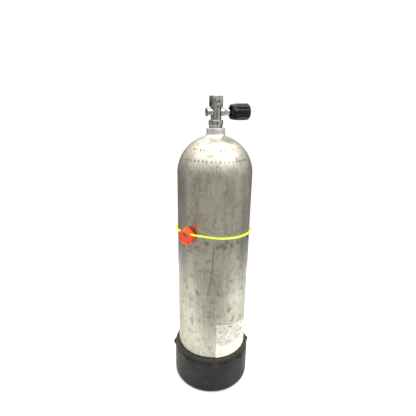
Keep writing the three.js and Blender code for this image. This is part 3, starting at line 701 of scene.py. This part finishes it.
ALUMINIUM = weathered_aluminium()
RUBBER = scuffed_rubber()
PAPER = worn_paper()
CHROME = worn_chrome()
BLACK_PLASTIC = moulded("black_plastic", (0.008,) * 3, (0.010,) * 3, 0.18, relief=0.003, gloss=0.2)
RED_PLASTIC = moulded("red_plastic", (0.95, 0.085, 0.012), (0.88, 0.06, 0.01), 0.3, relief=0.01)
NYLON = moulded("white_nylon", (0.75, 0.73, 0.66), (0.68, 0.66, 0.58), 0.5)
SEAL_RUBBER = moulded("seal_rubber", (0.015, 0.015, 0.016), (0.025, 0.025, 0.026), 0.5)
BRASS = turned_metal("turned_brass", (0.68, 0.50, 0.24), (0.56, 0.40, 0.18), 0.28)
STEEL = turned_metal("turned_steel", (0.58, 0.58, 0.57), (0.48, 0.48, 0.47), 0.25)
INK = turned_metal("stamped_metal", (0.06, 0.057, 0.05), (0.04, 0.038, 0.034), 0.6)
ELASTIC = braided_elastic()


def finished(made, material, body="tank", replaces=()):
    """Gives a piece its material, its body and the nodes it stands for."""
    made.data.materials.clear()
    made.data.materials.append(material)
    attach(made, body)
    if replaces:
        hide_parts(*replaces)
    return made


# ---- geometry node tools
def geometry_tree(name, whole, numbers):
    """An empty geometry node tree with whole number and number inputs and a material input."""
    tree = bpy.data.node_groups.new(name, "GeometryNodeTree")
    labels = [("Int", whole), ("Float", numbers), ("Material", ("Material",))]
    for kind, names in labels:
        for label in names:
            tree.interface.new_socket(label, in_out="INPUT", socket_type="NodeSocket" + kind)
    tree.interface.new_socket("Geometry", in_out="OUTPUT", socket_type="NodeSocketGeometry")
    return tree, *group_ends(tree)


def copied(points, piece, turn):
    """A piece on every point, turned by angles in radians."""
    inputs = {"Points": points, "Instance": piece, "Rotation": turn}
    return add(points.id_data, "GeometryNodeInstanceOnPoints", inputs).outputs[0]


def closed(geometry, given, out):
    """Ends a tree: its instances are made real and get the material."""
    tree = geometry.id_data
    real = add(tree, "GeometryNodeRealizeInstances", {0: geometry}).outputs[0]
    coloured = add(tree, "GeometryNodeSetMaterial", {"Geometry": real, "Material": given["Material"]})
    feed(out["Geometry"], coloured.outputs[0])
    return tree


def grown(name, tree, material, **values):
    """The plain mesh that a geometry node tree makes with these inputs."""
    holder = linked(name, bpy.data.meshes.new(name))
    step = holder.modifiers.new("grow", "NODES")
    step.node_group = tree
    values["Material"] = material
    for item in tree.interface.items_tree:
        if item.in_out == "INPUT":
            step[item.identifier] = values[item.name]
    return smoothed(applied(holder))


STROKE_WOBBLE = 0.18  # radians either way from a stroke's lean


def stamped_row_tree():
    """Small punched strokes in a row round a shoulder, some of them left out."""
    numbers = ("Radius", "Height", "Slope", "Start", "Pitch", "Stroke", "Thickness", "Lean", "Share")
    tree, given, out = geometry_tree("stamped_row", ("Count", "Seed"), numbers)
    line = add(tree, "GeometryNodeMeshLine", {"Count": given["Count"], "Offset": (0, 0, 0)}).outputs[0]
    index = add(tree, "GeometryNodeInputIndex").outputs[0]
    angle = maths("RADIANS", plus(given["Start"], times(index, given["Pitch"])))
    x, y = (times(given["Radius"], maths(way, angle)) for way in ("COSINE", "SINE"))
    spot = vector(tree, x, y, given["Height"])
    placed = add(tree, "GeometryNodeSetPosition", {"Geometry": line, "Position": spot}).outputs[0]
    draw = {"Probability": given["Share"], "Seed": given["Seed"]}
    kept = add(tree, "FunctionNodeRandomValue", draw, data_type="BOOLEAN").outputs[3]
    gone = add(tree, "FunctionNodeBooleanMath", {0: kept}, operation="NOT").outputs[0]
    left = {"Geometry": placed, "Selection": gone}
    left = add(tree, "GeometryNodeDeleteGeometry", left, domain="POINT").outputs[0]
    size = vector(tree, given["Thickness"], given["Thickness"], given["Stroke"])
    stroke = add(tree, "GeometryNodeMeshCube", {"Size": size}).outputs[0]
    least, most = minus(given["Lean"], STROKE_WOBBLE), plus(given["Lean"], STROKE_WOBBLE)
    draw = {2: least, 3: most, "Seed": given["Seed"]}
    wobble = add(tree, "FunctionNodeRandomValue", draw, data_type="FLOAT").outputs[1]
    turn = vector(tree, wobble, maths("RADIANS", times(given["Slope"], -1.0)), angle)
    return closed(copied(left, stroke, turn), given, out)


def ribs_tree():
    """Upright ribs round the inside of a cup."""
    numbers = ("Radius", "Middle", "Depth", "Width", "Length")
    tree, given, out = geometry_tree("inside_ribs", ("Count",), numbers)
    circle = {"Vertices": given["Count"], "Radius": given["Radius"]}
    circle = add(tree, "GeometryNodeMeshCircle", circle).outputs[0]
    size = vector(tree, given["Depth"], given["Width"], given["Length"])
    rib = add(tree, "GeometryNodeMeshCube", {"Size": size}).outputs[0]
    index = add(tree, "GeometryNodeInputIndex").outputs[0]
    angle = times(index, maths("DIVIDE", FULL_TURN, given["Count"]))
    ribs = copied(circle, rib, vector(tree, z=angle))
    raised = {"Geometry": ribs, "Translation": vector(tree, z=given["Middle"])}
    return closed(add(tree, "GeometryNodeTransform", raised).outputs[0], given, out)


def coil_tree():
    """A round wire coil along Z with closed ends."""
    tree, given, out = geometry_tree("wire_coil", (), ("Radius", "Wire", "Turns", "Length"))
    path = {"Resolution": 40, "Rotations": given["Turns"], "Height": given["Length"]}
    path |= {"Start Radius": given["Radius"], "End Radius": given["Radius"]}
    path = add(tree, "GeometryNodeCurveSpiral", path).outputs[0]
    section = {"Resolution": 10, "Radius": given["Wire"]}
    section = add(tree, "GeometryNodeCurvePrimitiveCircle", section).outputs[0]
    wire = {"Curve": path, "Profile Curve": section, "Fill Caps": True}
    return closed(add(tree, "GeometryNodeCurveToMesh", wire).outputs[0], given, out)


# ---- cylinder
NECK_RING_BORE = high("neck_o_ring").x + 0.3
NECK_RING_SEAT = 2.7
INNER_EDGE = 20  # the rounding inside the base


def make_cylinder():
    inner = TANK_RADIUS - TANK_WALL
    inner_floor = TANK_BOTTOM + TANK_BASE
    fillet_across = NECK_RADIUS + NECK_FILLET
    fillet_up = math.sqrt((TANK_RADIUS + NECK_FILLET) ** 2 - fillet_across**2)
    meeting = math.degrees(math.atan2(fillet_up, fillet_across))
    mouth = math.degrees(math.acos(NECK_BORE / inner))
    neck = [
        (NECK_RADIUS, NECK_TOP - 6),
        (NECK_RADIUS, NECK_TOP),
        (NECK_RING_BORE, NECK_TOP),
        (NECK_RING_BORE, NECK_TOP - NECK_RING_SEAT),
        (NECK_BORE, NECK_TOP - NECK_RING_SEAT),
        (NECK_BORE, NECK_TOP - 12),
    ]
    profile = [
        (0, TANK_BOTTOM),
        *arc(TANK_RADIUS - TANK_EDGE, TANK_BOTTOM + TANK_EDGE, TANK_EDGE, -90, 0, 10),
        *[(TANK_RADIUS, z) for z in np.linspace(TANK_BOTTOM + TANK_EDGE, SHOULDER_HEIGHT, 24)[1:-1]],
        *arc(0, SHOULDER_HEIGHT, TANK_RADIUS, 0, meeting, 36),
        *arc(fillet_across, SHOULDER_HEIGHT + fillet_up, NECK_FILLET, meeting + 180, 180, 10)[1:],
        *softened(neck, 0.9),
        *arc(0, SHOULDER_HEIGHT, inner, mouth, 0, 18),
        *arc(inner - INNER_EDGE, inner_floor + INNER_EDGE, INNER_EDGE, 0, -90, 6),
        (0, inner_floor),
    ]
    shell = lathe("tank_shell", profile, sides=192)
    finished(shell, ALUMINIUM, replaces=["cylinder"])


STAMP_ROWS = [  # latitude, first angle and pitch in degrees, number of marks, seed
    (44.0, -158.0, 8.0, 9, 4),
    (26.6, -167.0, 7.0, 17, 9),
]
STAMP_DEPTH = 0.28
STAMP_HEIGHT = 0.0055  # of a mark's long stroke, in metres
STAMP_THICKNESS = 0.0011
STROKE_GAP = 1.8  # degrees from a mark's long stroke to its short one


def make_stamps():
    """Two rows of punched marks on the shoulder, each of a long stroke and mostly a short one."""
    tree = stamped_row_tree()
    radius = TANK_RADIUS - STAMP_DEPTH
    for number, (latitude, start, pitch, count, seed) in enumerate(STAMP_ROWS, 1):
        rise = math.radians(latitude)
        for layer, (letter, lean) in enumerate((("a", 0.05), ("b", -0.1))):
            made = grown(
                f"stamp_row_{number}_{letter}",
                tree,
                INK,
                Count=count,
                Radius=radius * math.cos(rise) * MM,
                Height=(SHOULDER_HEIGHT + radius * math.sin(rise)) * MM,
                Slope=latitude,
                Start=start + STROKE_GAP * layer,
                Pitch=pitch,
                Stroke=STAMP_HEIGHT * (1 - 0.35 * layer),
                Thickness=STAMP_THICKNESS,
                Lean=lean,
                Share=1.0 - 0.15 * layer,
                Seed=seed + layer,
            )
            finished(made, INK)


# ---- boot
FLANGE_FLAT = 1.5  # half the height over which the flange's corners keep their full radius
FLANGE_BLEND = 0.6
BOOT_TOE = 8  # the rounding at the boot's foot
RIB_TOP = BOOT_HEIGHT - 12


def flange_corner(height):
    """The radius of the flange's corners at a height."""
    rise = abs(height - BOOT_CORNER_HEIGHT)
    if rise <= FLANGE_FLAT:
        return BOOT_CORNER
    share = min(1, (rise - FLANGE_FLAT) / (BOOT_CORNER_SPREAD - FLANGE_FLAT))
    end = BOOT_RADIUS - (5 if height > BOOT_CORNER_HEIGHT else 1)
    return BOOT_CORNER + (end - BOOT_CORNER) * share


def boot_radius(wall, height, degrees):
    """The outside of the boot: a round wall and an eight-sided flange, blended where they meet."""
    turn = (degrees - BOOT_TURN) % 45 - 22.5
    flat = flange_corner(height) * math.cos(math.radians(22.5)) / math.cos(math.radians(turn))
    if abs(height - BOOT_CORNER_HEIGHT) > BOOT_CORNER_SPREAD:
        return wall
    return max(wall, flat) + FLANGE_BLEND * math.exp(-abs(wall - flat) / FLANGE_BLEND) * 0.25


def make_boot():
    lip = TANK_RADIUS + 0.3
    inner = BOOT_RADIUS - BOOT_WALL
    foot = BOOT_CORNER_HEIGHT - BOOT_CORNER_SPREAD
    taper_end = BOOT_HEIGHT - BOOT_RIM_TAPER
    taper = [
        (BOOT_RADIUS - BOOT_RIM_TAPER * share, BOOT_CORNER_HEIGHT + (taper_end - BOOT_CORNER_HEIGHT) * share)
        for share in np.linspace(0, 0.8, 10)
    ]
    rim = [
        taper[-1],
        (BOOT_RADIUS - BOOT_RIM_TAPER, taper_end),
        (BOOT_RADIUS - 2 * BOOT_RIM_TAPER, BOOT_HEIGHT),
        (lip + 1.5, BOOT_HEIGHT),
    ]
    outer = [
        *arc(BOOT_RADIUS - BOOT_TOE, BOOT_TOE, BOOT_TOE, -90, 0, 10),
        *[(BOOT_RADIUS, z) for z in np.linspace(12, foot - 1, 10)],
        *[(BOOT_RADIUS, z) for z in np.linspace(foot, BOOT_CORNER_HEIGHT, 14)[:-1]],
        *taper,
        *softened(rim, 1.6, 5)[1:],
    ]
    inside = [
        (lip + 1.5, BOOT_HEIGHT),
        (lip + 0.4, BOOT_HEIGHT - 0.8),
        (lip, BOOT_HEIGHT - 9),
        (inner, BOOT_HEIGHT - 13),
        (inner, BOOT_FLOOR),
        (0, BOOT_FLOOR),
    ]

    def reach(number, radius, height, angle):
        shaped = number < len(outer) - 1
        return boot_radius(radius, height, math.degrees(angle)) if shaped else radius

    angles = np.radians(BOOT_TURN + np.linspace(0, 360, 240, endpoint=False))
    profile = [(0, 0), *outer, *softened(inside, 1.2)[1:]]
    boot = mesh_object("boot_shell", *turned(profile, angles, reach=reach))
    drains = []
    for i in range(6):
        place = Matrix.Rotation(FULL_TURN * i / 6, 4, "Z") @ moved(60, 0, 0)
        drains.append(lathe("drain", bar(6, -1, 9), place, 40))
    combine(boot, "DIFFERENCE", *drains)
    finished(boot, RUBBER, replaces=["tank_boot"])
    ribs = grown(
        "boot_ribs",
        ribs_tree(),
        RUBBER,
        Count=8,
        Radius=(lip + 3.2) * MM,
        Middle=(BOOT_FLOOR + RIB_TOP) / 2 * MM,
        Depth=6 * MM,
        Width=3 * MM,
        Length=(RIB_TOP - BOOT_FLOOR) * MM,
    )
    finished(ribs, RUBBER)


# ---- label
LABEL_THICKNESS = 0.22
TEAR_DEPTH = 4.0
LABEL_LIFT = 0.14


def make_label():
    """A thin sheet round the cylinder, its upper edge slanting and torn."""
    columns, lines = 180, 90
    random = np.random.default_rng(5)
    tear = np.convolve(random.normal(0, 1.0, columns + 9), np.ones(5) / 5, "valid")[: columns + 1]
    points, faces = [], []
    for layer in (0, LABEL_THICKNESS):
        for i in range(columns + 1):
            share = i / columns
            a = math.radians(LABEL_FROM + (LABEL_TO - LABEL_FROM) * share)
            top = LABEL_TOP + (LABEL_SIDE_TOP - LABEL_TOP) * share - 0.5 - abs(tear[i]) * TEAR_DEPTH
            for k in range(lines + 1):
                height = LABEL_BOTTOM + (top - LABEL_BOTTOM) * k / lines
                lift = LABEL_LIFT * math.sin(height * 0.35 + share * 9) * math.sin(share * 31 + height * 0.11)
                radius = TANK_RADIUS + 0.25 + layer + max(0, lift)
                points.append((radius * math.cos(a), radius * math.sin(a), height))
    row, layer_size = lines + 1, (columns + 1) * (lines + 1)
    for i in range(columns):
        for k in range(lines):
            a, b, c, d = i * row + k, (i + 1) * row + k, (i + 1) * row + k + 1, i * row + k + 1
            faces.append((a, d, c, b))
            faces.append((a + layer_size, b + layer_size, c + layer_size, d + layer_size))
    rim = [i * row for i in range(columns + 1)]
    rim += [columns * row + k for k in range(1, lines + 1)]
    rim += [i * row + lines for i in range(columns - 1, -1, -1)]
    rim += range(lines - 1, 0, -1)
    for a, b in zip(rim, rim[1:] + rim[:1]):
        faces.append((a, b, b + layer_size, a + layer_size))
    label = mesh_object("paper_label", points, faces, 60)
    finished(label, PAPER, replaces=["inspection_label"])


# ---- valve
STUB_RADIUS = 12.1
PILLAR_RADIUS = 12.5
PILLAR_TOP = 738.5  # where the pillar starts to round over under the head
BOSS_RADIUS = 8.5
HEAD_BOTTOM = 743
HEAD_HALF_WIDTH = 12
HEAD_CORNERS = 3, 6.5  # at the outlet's side and at the back


def rounded_block(name, half_width, front, start, end, corners, edge):
    """An upright block with rounded corners and a softened top and bottom edge.

    It is as deep behind the axis as in front of it.
    """
    near, far = corners
    outline = [
        *arc(half_width - near, front - near, near, 0, 90, 8),
        *arc(near - half_width, front - near, near, 90, 180, 8),
        *arc(far - half_width, far - front, far, 180, 270, 12),
        *arc(half_width - far, far - front, far, 270, 360, 12),
    ]
    levels = [(start, edge), (start + 0.3 * edge, 0.3 * edge), (start + edge, 0), (end - edge, 0)]
    levels += [(end - 0.3 * edge, 0.3 * edge), (end, edge)]
    points = []
    for height, inset in levels:
        wide, deep = (half_width - inset) / half_width, (front - inset) / front
        points += [(x * wide, y * deep, height) for x, y in outline]
    count = len(outline)
    rows = [range(i * count, (i + 1) * count) for i in range(len(levels))]
    return mesh_object(name, points, [*stitched(rows), list(rows[0])[::-1], list(rows[-1])])


def make_valve_body():
    flange_low, flange_top = 702, 713.5
    stub_low, post_top = NECK_TOP - 32, HEAD_BOTTOM + 2
    foot = [
        (STUB_RADIUS, NECK_TOP + 0.3),
        (15.5, NECK_TOP + 0.3),
        (15.5, flange_low - 0.8),
        (17, flange_low + 0.4),
        (17, flange_top),
        (PILLAR_RADIUS, flange_top),
        (PILLAR_RADIUS, flange_top + 8),
    ]
    profile = [
        (0, stub_low),
        *softened([(10, stub_low), (STUB_RADIUS, stub_low), (STUB_RADIUS, NECK_TOP + 0.3)], 0.8),
        *softened(foot, 0.9, 4)[1:],
        (PILLAR_RADIUS, post_top),
        (0, post_top),
    ]
    post = lathe("valve_casting", profile, sides=128)
    block = HEAD_HALF_WIDTH, OUTLET_FACE
    head = rounded_block("head", *block, HEAD_BOTTOM, HEAD_TOP, HEAD_CORNERS, 1.1)
    rounding = arc(16.0, PILLAR_TOP, 3.5, 180, 118, 6)
    shoulder = lathe(
        "shoulder", [(0, PILLAR_TOP), (PILLAR_RADIUS, PILLAR_TOP), *rounding, (0, HEAD_BOTTOM + 0.6)]
    )
    shoulder = combine(shoulder, "INTERSECT", rounded_block("trim", *block, 730, 760, HEAD_CORNERS, 0.2))
    knob_boss = lathe("knob_boss", softened(bar(BOSS_RADIUS, 0, 17.5), 0.6), ON_STEM)
    taper = [(0, -21), (6, -21), (BOSS_RADIUS, -10.5), (BOSS_RADIUS, 0), (0, 0)]
    side_boss = lathe("side_boss", softened(taper, 0.5), ON_STEM)
    valve = combine(post, "UNION", head, shoulder, knob_boss, side_boss)
    dimple = [(0, -12.5), (0.8, -12.6), (3.6, -OUTLET_FACE), (3.6, -17), (0, -17)]
    inlet = [(0, 663), (3.3, 663), (3.3, 672), (2, 672), (2, 733.5), (0, 733.5)]
    cuts = [
        ([(0, -3), (4, -3), (4, 15.1), (4.6, 15.7), (4.6, 17), (0, 17)], TOWARDS_OUTLET, 64),
        ([(6, 13.5), (8.3, 13.5), (8.3, 17), (6, 17)], TOWARDS_OUTLET, 96, True),
        (dimple, TOWARDS_OUTLET, 48),
        ([(0, -13), (4.6, -13), (4.6, -7.6), (2, -7.6), (2, -6), (0, -6)], IN_BURST_PORT, 48),
        ([(0, 4.5), (2.8, 4.5), (2.8, 3.5), (6.3, 3.5), (6.3, 18.5), (0, 18.5)], ON_STEM, 64),
        (bar(4, -22, -3), ON_STEM, 48),
        (inlet, UPRIGHT, 32),
        (bar(1.6, 734, 757), moved(5, 0, 0), 24),
        (bar(1.4, 0, 5), ON_STEM, 24),
    ]
    combine(valve, "DIFFERENCE", *[lathe("cut", *cut) for cut in cuts])
    finished(valve, CHROME, replaces=["valve_body"])


def make_valve_trim():
    """The plugs, seals and gaskets on and in the valve."""
    plug_in, groove_start, groove_end, shank = -21.3, -16.2, -14.4, 3.7
    plug_head = [
        (4.9, PLUG_END + 0.2),
        (6, PLUG_END),
        (9.5, PLUG_END),
        (9.5, plug_in),
        (shank, plug_in),
        (shank, groove_start),
    ]
    groove = [
        (shank, groove_start),
        (2.5, groove_start),
        (2.5, groove_end),
        (shank, groove_end),
        (shank, -9.3),
        (0, -9.3),
    ]
    profile = [(0, PLUG_END + 0.9), (4.4, PLUG_END + 0.9)]
    profile += [*softened(plug_head, 0.7, 4), *softened(groove, 0.3)[1:]]
    plug = lathe("side_plug_turned", profile, ON_STEM)
    slot_cut = rounded_block("slot", 0.9, 4.2, 0, 2.4, (0.3, 0.3), 0.05)
    to_plug = moved(PLUG_END * MM, 0, STEM_HEIGHT * MM) @ ALONG_X
    slot_cut.data.transform(to_plug @ moved(0, 0, -0.6 * MM))
    combine(plug, "DIFFERENCE", slot_cut)
    finished(plug, CHROME, replaces=["side_plug"])

    burst = band("burst_plug_turned", 2, 4.3, -11.8, -9.4, IN_BURST_PORT, 0.35)
    finished(burst, CHROME, replaces=["burst_plug"])
    ring = round_ring("outlet_seal", 7.15, 14.45, 1.8, TOWARDS_OUTLET)
    finished(ring, SEAL_RUBBER, replaces=["outlet_o_ring"])
    neck_ring = round_ring("neck_seal", 13.65, NECK_TOP - 1.4, 2.4)
    finished(neck_ring, SEAL_RUBBER, replaces=["neck_o_ring"])
    gasket = band("bonnet_gasket_ring", 6.4, 8.2, 17.8, 18.6, ON_STEM, 0.15)
    finished(gasket, NYLON, replaces=["bonnet_gasket"])


def make_bonnet():
    start, end, neck_end = 18.9, 26.3, 34
    flat = 16 / 2
    corner = flat / math.cos(math.pi / 6)
    wide, edge = corner + 0.4, flat + 0.4
    chamfer = [(0, start), (edge, start), (wide, start + 1.1), (wide, end - 1.1), (edge, end), (0, end)]
    neck = [(0, 14.5), (6, 14.5), (6, start), (6.8, start + 1), (6.8, neck_end), (0, neck_end)]
    bore = [(0, 13), (4.9, 13), (4.9, 17.4), (3.3, 17.4), (3.3, 36), (0, 36)]
    bonnet = lathe("bonnet_turned", bar(corner, start, end), ON_STEM, 6)
    combine(bonnet, "INTERSECT", lathe("chamfer", chamfer, ON_STEM, 64))
    combine(bonnet, "UNION", lathe("neck", softened(neck, 0.6), ON_STEM))
    combine(bonnet, "DIFFERENCE", lathe("bore", bore, ON_STEM, 64))
    finished(bonnet, CHROME, replaces=["bonnet_nut"])


# ---- knob
FLUTES = 8
FLUTE_DEPTH = 2.2
KNOB_START_RADIUS = 17
KNOB_WIDEST = 56
KNOB_ROUNDING = 5
KNOB_BORE = 8.7
KNOB_FLOOR = 66.3
CAP_POCKET = 10.5
SPRING_START = 58.6
SPRING_LENGTH = 7.3
SPRING_WIRE = 0.6  # radius


def knob_envelope():
    """The knob from the side: skirt, swell and rounded end, as (radius, along) points."""
    swell = []
    for share in np.linspace(0, 1, 22)[:-1]:
        along = KNOB_START + 1.2 + (KNOB_WIDEST - KNOB_START - 1.2) * share
        rise = math.sin(share * math.pi / 2)
        swell.append((KNOB_START_RADIUS + (KNOB_RADIUS - KNOB_START_RADIUS) * (0.07 + 0.93 * rise), along))
    straight = [(KNOB_RADIUS, x) for x in np.linspace(KNOB_WIDEST, KNOB_END - KNOB_ROUNDING, 8)]
    end = arc(KNOB_RADIUS - KNOB_ROUNDING, KNOB_END - KNOB_ROUNDING, KNOB_ROUNDING, 0, 84, 14)[1:]
    return [*swell, *straight, *end]


def flute(along, degrees):
    """How deep the flutes cut at a place on the knob."""
    fade_in = min(1, max(0, (along - KNOB_START - 3) / 14))
    fade_out = min(1, max(0, (KNOB_END - 1 - along) / 7))
    wave = max(0.0, -math.cos(math.radians(FLUTES * degrees)))
    smooth_in, smooth_out = (fade * fade * (3 - 2 * fade) for fade in (fade_in, fade_out))
    return FLUTE_DEPTH * wave**0.8 * smooth_in * smooth_out


def make_knob():
    outer = knob_envelope()
    skirt = [(11.5, KNOB_START + 6), (11.5, KNOB_START + 0.6), (12.4, KNOB_START), (14.2, KNOB_START)]
    skirt = softened(skirt, 0.5)
    inner = [(CAP_POCKET, KNOB_END - 0.15), (CAP_POCKET, KNOB_FLOOR)]
    inner += [(KNOB_BORE, KNOB_FLOOR), (KNOB_BORE, KNOB_START + 6)]
    fluted = range(len(skirt), len(skirt) + len(outer))

    def reach(number, radius, along, angle):
        return radius - (flute(along, math.degrees(angle)) if number in fluted else 0)

    angles = np.radians(np.linspace(0, 360, 256, endpoint=False))
    shell = turned([*skirt, *outer, *inner], angles, ON_STEM, ring=True, reach=reach)
    grip = mesh_object("knob_shell", *shell, 40)
    finished(grip, BLACK_PLASTIC, "knob", ["knob_grip"])
    edge = [(9, 77.5), (10.2, 77.5), (10.2, KNOB_END - 0.5), (9.4, KNOB_END - 0.05)]
    disc = [(0, 77.5), *softened(edge, 0.5), (5, KNOB_END), (0, KNOB_END)]
    cap = lathe("knob_end_cap", disc, ON_STEM)
    finished(cap, BLACK_PLASTIC, "knob", ["knob_cap"])
    length = (SPRING_LENGTH - 2 * SPRING_WIRE) * MM
    coil = {"Radius": 5.2 * MM, "Wire": SPRING_WIRE * MM, "Turns": 4.0, "Length": length}
    spring = grown("knob_spring_coil", coil_tree(), STEEL, **coil)
    spring.data.transform(moved(SPRING_START * MM, 0, STEM_HEIGHT * MM) @ ALONG_X)
    finished(smoothed(spring), STEEL, "knob", ["knob_spring"])


# ---- dust cap and cord
def cap_frame():
    """The cap's own frame: +Z out of its face, +Y up."""
    turn, tilt = math.radians(CAP_TURN), math.radians(CAP_TILT)
    out = Vector((math.cos(turn) * math.cos(tilt), math.sin(turn) * math.cos(tilt), -math.sin(tilt)))
    side = Vector((-math.sin(turn), math.cos(turn), 0))
    axes = Matrix((side, out.cross(side), out)).transposed().to_4x4()
    centre = Vector((CAP_DISTANCE * math.cos(turn), CAP_DISTANCE * math.sin(turn), CAP_HEIGHT))
    return Matrix.Translation(centre) @ axes


IN_CAP = cap_frame()
CAP_RECESS = 3.2
CAP_STEP = 2.6  # how far the cap's back stands out
CORD_ROUTE = [  # degrees from the cap, millimetres above its middle, and further off the wall
    *((28, 4, 3), (43, 0, 0), (59, -1.5, 0), (79, -3.5, 0), (103, -6, 0), (127, -8, 0)),
    *((151, -9.5, 0), (176, -10.5, 0), (201, -11, 0), (226, -11, 0), (251, -11, 0)),
    *((276, -11, 0), (299, -9.5, 0), (318, -5, 0), (333, 1, 3)),
]


def make_dust_cap():
    half = CAP_LENGTH / 2
    back, floor = -half - CAP_STEP, half - CAP_RECESS
    outline = [(11.8, back), (11.8, -half), (CAP_RADIUS, -half), (CAP_RADIUS, half)]
    outline += [(16.0, half), (14.5, floor), (9.0, floor)]
    profile = [(0, back), (10.0, back), *softened(outline, 2.2, 6), (0, floor)]
    cap = lathe("cap_moulding", profile, IN_CAP, 128)
    hole_place = IN_CAP @ moved(0, CORD_HOLE_UP, CORD_HOLE_FORWARD) @ ALONG_X
    hole = lathe("hole", bar(3.1, -21, 21), hole_place, 40)
    pocket_place = IN_CAP @ moved(0, CORD_HOLE_UP - 0.8, 0)
    pocket = lathe("pocket", bar(5.2, half - 13, half + 1), pocket_place, 48)
    combine(cap, "DIFFERENCE", hole, pocket)
    finished(cap, RED_PLASTIC, "cap", ["dust_cap"])


def around_tank(round_it, rise, held_off):
    """A point of the cord on the cylinder, as in CORD_ROUTE."""
    radius, angle = CORD_OUT + held_off, math.radians(CAP_TURN + round_it)
    return Vector((radius * math.cos(angle), radius * math.sin(angle), CAP_HEIGHT + rise))


def make_cord():
    """The loop: out of one side of the cap, round the cylinder and into its other side."""
    up, ahead = CORD_HOLE_UP, CORD_HOLE_FORWARD
    hole_end = math.sqrt(CAP_RADIUS**2 - up**2)
    side = [(4.7, 0, 0), (0.65 * hole_end, 0, 0), (hole_end + 1, 0, -0.1)]
    leaving = [*side, (hole_end + 8, -0.4, -2.1)]
    arriving = [*side, (hole_end + 8, -0.6, -2.1)]
    route = [IN_CAP @ Vector((x, up + y, ahead + z)) for x, y, z in leaving]
    route += [around_tank(*stop) for stop in CORD_ROUTE]
    route += [IN_CAP @ Vector((-x, up + y, ahead + z)) for x, y, z in arriving[::-1]]
    cord = tube("elastic_loop", spline(route, 1.5), CORD_RADIUS, 24)
    finished(cord, ELASTIC, "cord_loop", ["elastic_cord"])
    turns = []
    for i in range(121):
        t = FULL_TURN * i / 120
        x = 0.9 * (math.sin(t) + 2 * math.sin(2 * t))
        y = 0.9 * (math.cos(t) - 2 * math.cos(2 * t))
        turns.append(IN_CAP @ Vector((x, up + y, ahead - 1.1 * math.sin(3 * t))))
    knot = tube("cord_knot_tied", turns, 1.45, 14)
    finished(knot, ELASTIC, "cord_loop", ["cord_knot"])


# ---- the pieces inside
INSIDE = [
    (NYLON, ("dip_tube", "burst_gasket", "valve_seat", "thrust_washer")),
    (SEAL_RUBBER, ("side_plug_o_ring", "stem_o_ring")),
    (BRASS, ("seat_carrier", "knob_hub")),
    (STEEL, ("burst_disc", "spindle", "knob_washer", "knob_nut")),
]


def finish_inside():
    for material, nodes in INSIDE:
        for node in nodes:
            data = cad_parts[node].data
            data.materials.clear()
            data.materials.append(material)


# ---- floor and light
def make_floor():
    material = new_material("floor", (0.84, 0.84, 0.84), 0.7)[0]
    side, front, back = 0.62, 0.32, 0.62
    mesh = bpy.data.meshes.new("floor")
    corners = [(-side, -front), (side, -front), (side, back), (-side, back)]
    mesh.from_pydata([FROM_CAMERA_SIDE @ Vector((x, y, 0)) for x, y in corners], [], [(0, 1, 2, 3)])
    mesh.materials.append(material)
    linked("floor", mesh)


def soft_light(name, place, size, power, aim=(0, 0, 0.4)):
    """A rectangular light turned towards a point, placed as seen from the camera's side."""
    data = bpy.data.lights.new(name, "AREA")
    data.shape = "RECTANGLE"
    data.size, data.size_y = size
    data.energy = power
    light = linked(name, data)
    light.location = FROM_CAMERA_SIDE @ Vector(place)
    light.rotation_mode = "QUATERNION"
    light.rotation_quaternion = (Vector(aim) - light.location).to_track_quat("-Z", "Y")


def make_world():
    """A studio: bright overhead, grey and uneven level with the object, white to look at."""
    world = bpy.data.worlds.new("studio")
    bpy.context.scene.world = world
    world.use_nodes = True
    tree = world.node_tree
    tree.nodes.clear()
    direction = add(tree, "ShaderNodeTexCoord").outputs["Generated"]
    inputs = {"Vector": direction, "Angle": -math.radians(CAMERA_SIDE)}
    facing = add(tree, "ShaderNodeVectorRotate", inputs, rotation_type="Z_AXIS").outputs[0]
    across, away, up = split(facing)
    overhead = times(stepped(up, 0.3, 0.95), 1.75)
    glow = times(stepped(up, 0.0, 0.5), 0.4)
    behind = stepped(away, -0.3, 0.9)
    left = stepped(across, 0.4, -0.7)
    dimming = times(behind, plus(0.06, times(left, 0.1)))
    uneven = plus(0.4, times(stepped(noise(direction, 3.0, 1.0), 0.45, 0.56), 1.2))
    sides = times(behind, times(stepped(up, 0.05, 0.4), 0.6))
    level = plus(plus(times(minus(0.48, dimming), uneven), sides), glow)
    lighting = {"Color": (1, 0.99, 0.96, 1), "Strength": plus(level, overhead)}
    lighting = add(tree, "ShaderNodeBackground", lighting).outputs[0]
    backdrop = add(tree, "ShaderNodeBackground", {"Color": (1, 1, 1, 1), "Strength": 1.05}).outputs[0]
    seen = add(tree, "ShaderNodeLightPath").outputs["Is Camera Ray"]
    both = add(tree, "ShaderNodeMixShader", {0: seen, 1: lighting, 2: backdrop}).outputs[0]
    add(tree, "ShaderNodeOutputWorld", {"Surface": both}).is_active_output = True


def make_lights():
    soft_light("overhead", (-0.2, -0.4, 2.2), (1.2, 0.4), 7)
    soft_light("strip", (0.91, -0.6, 1.8), (1.0, 0.1), 8, aim=(0.06, 0, 0.73))
    bpy.context.scene.view_settings.view_transform = "Standard"


make_cylinder()
make_stamps()
make_boot()
make_label()
make_valve_body()
make_valve_trim()
make_bonnet()
make_knob()
make_dust_cap()
make_cord()
finish_inside()
make_floor()
make_world()
make_lights()
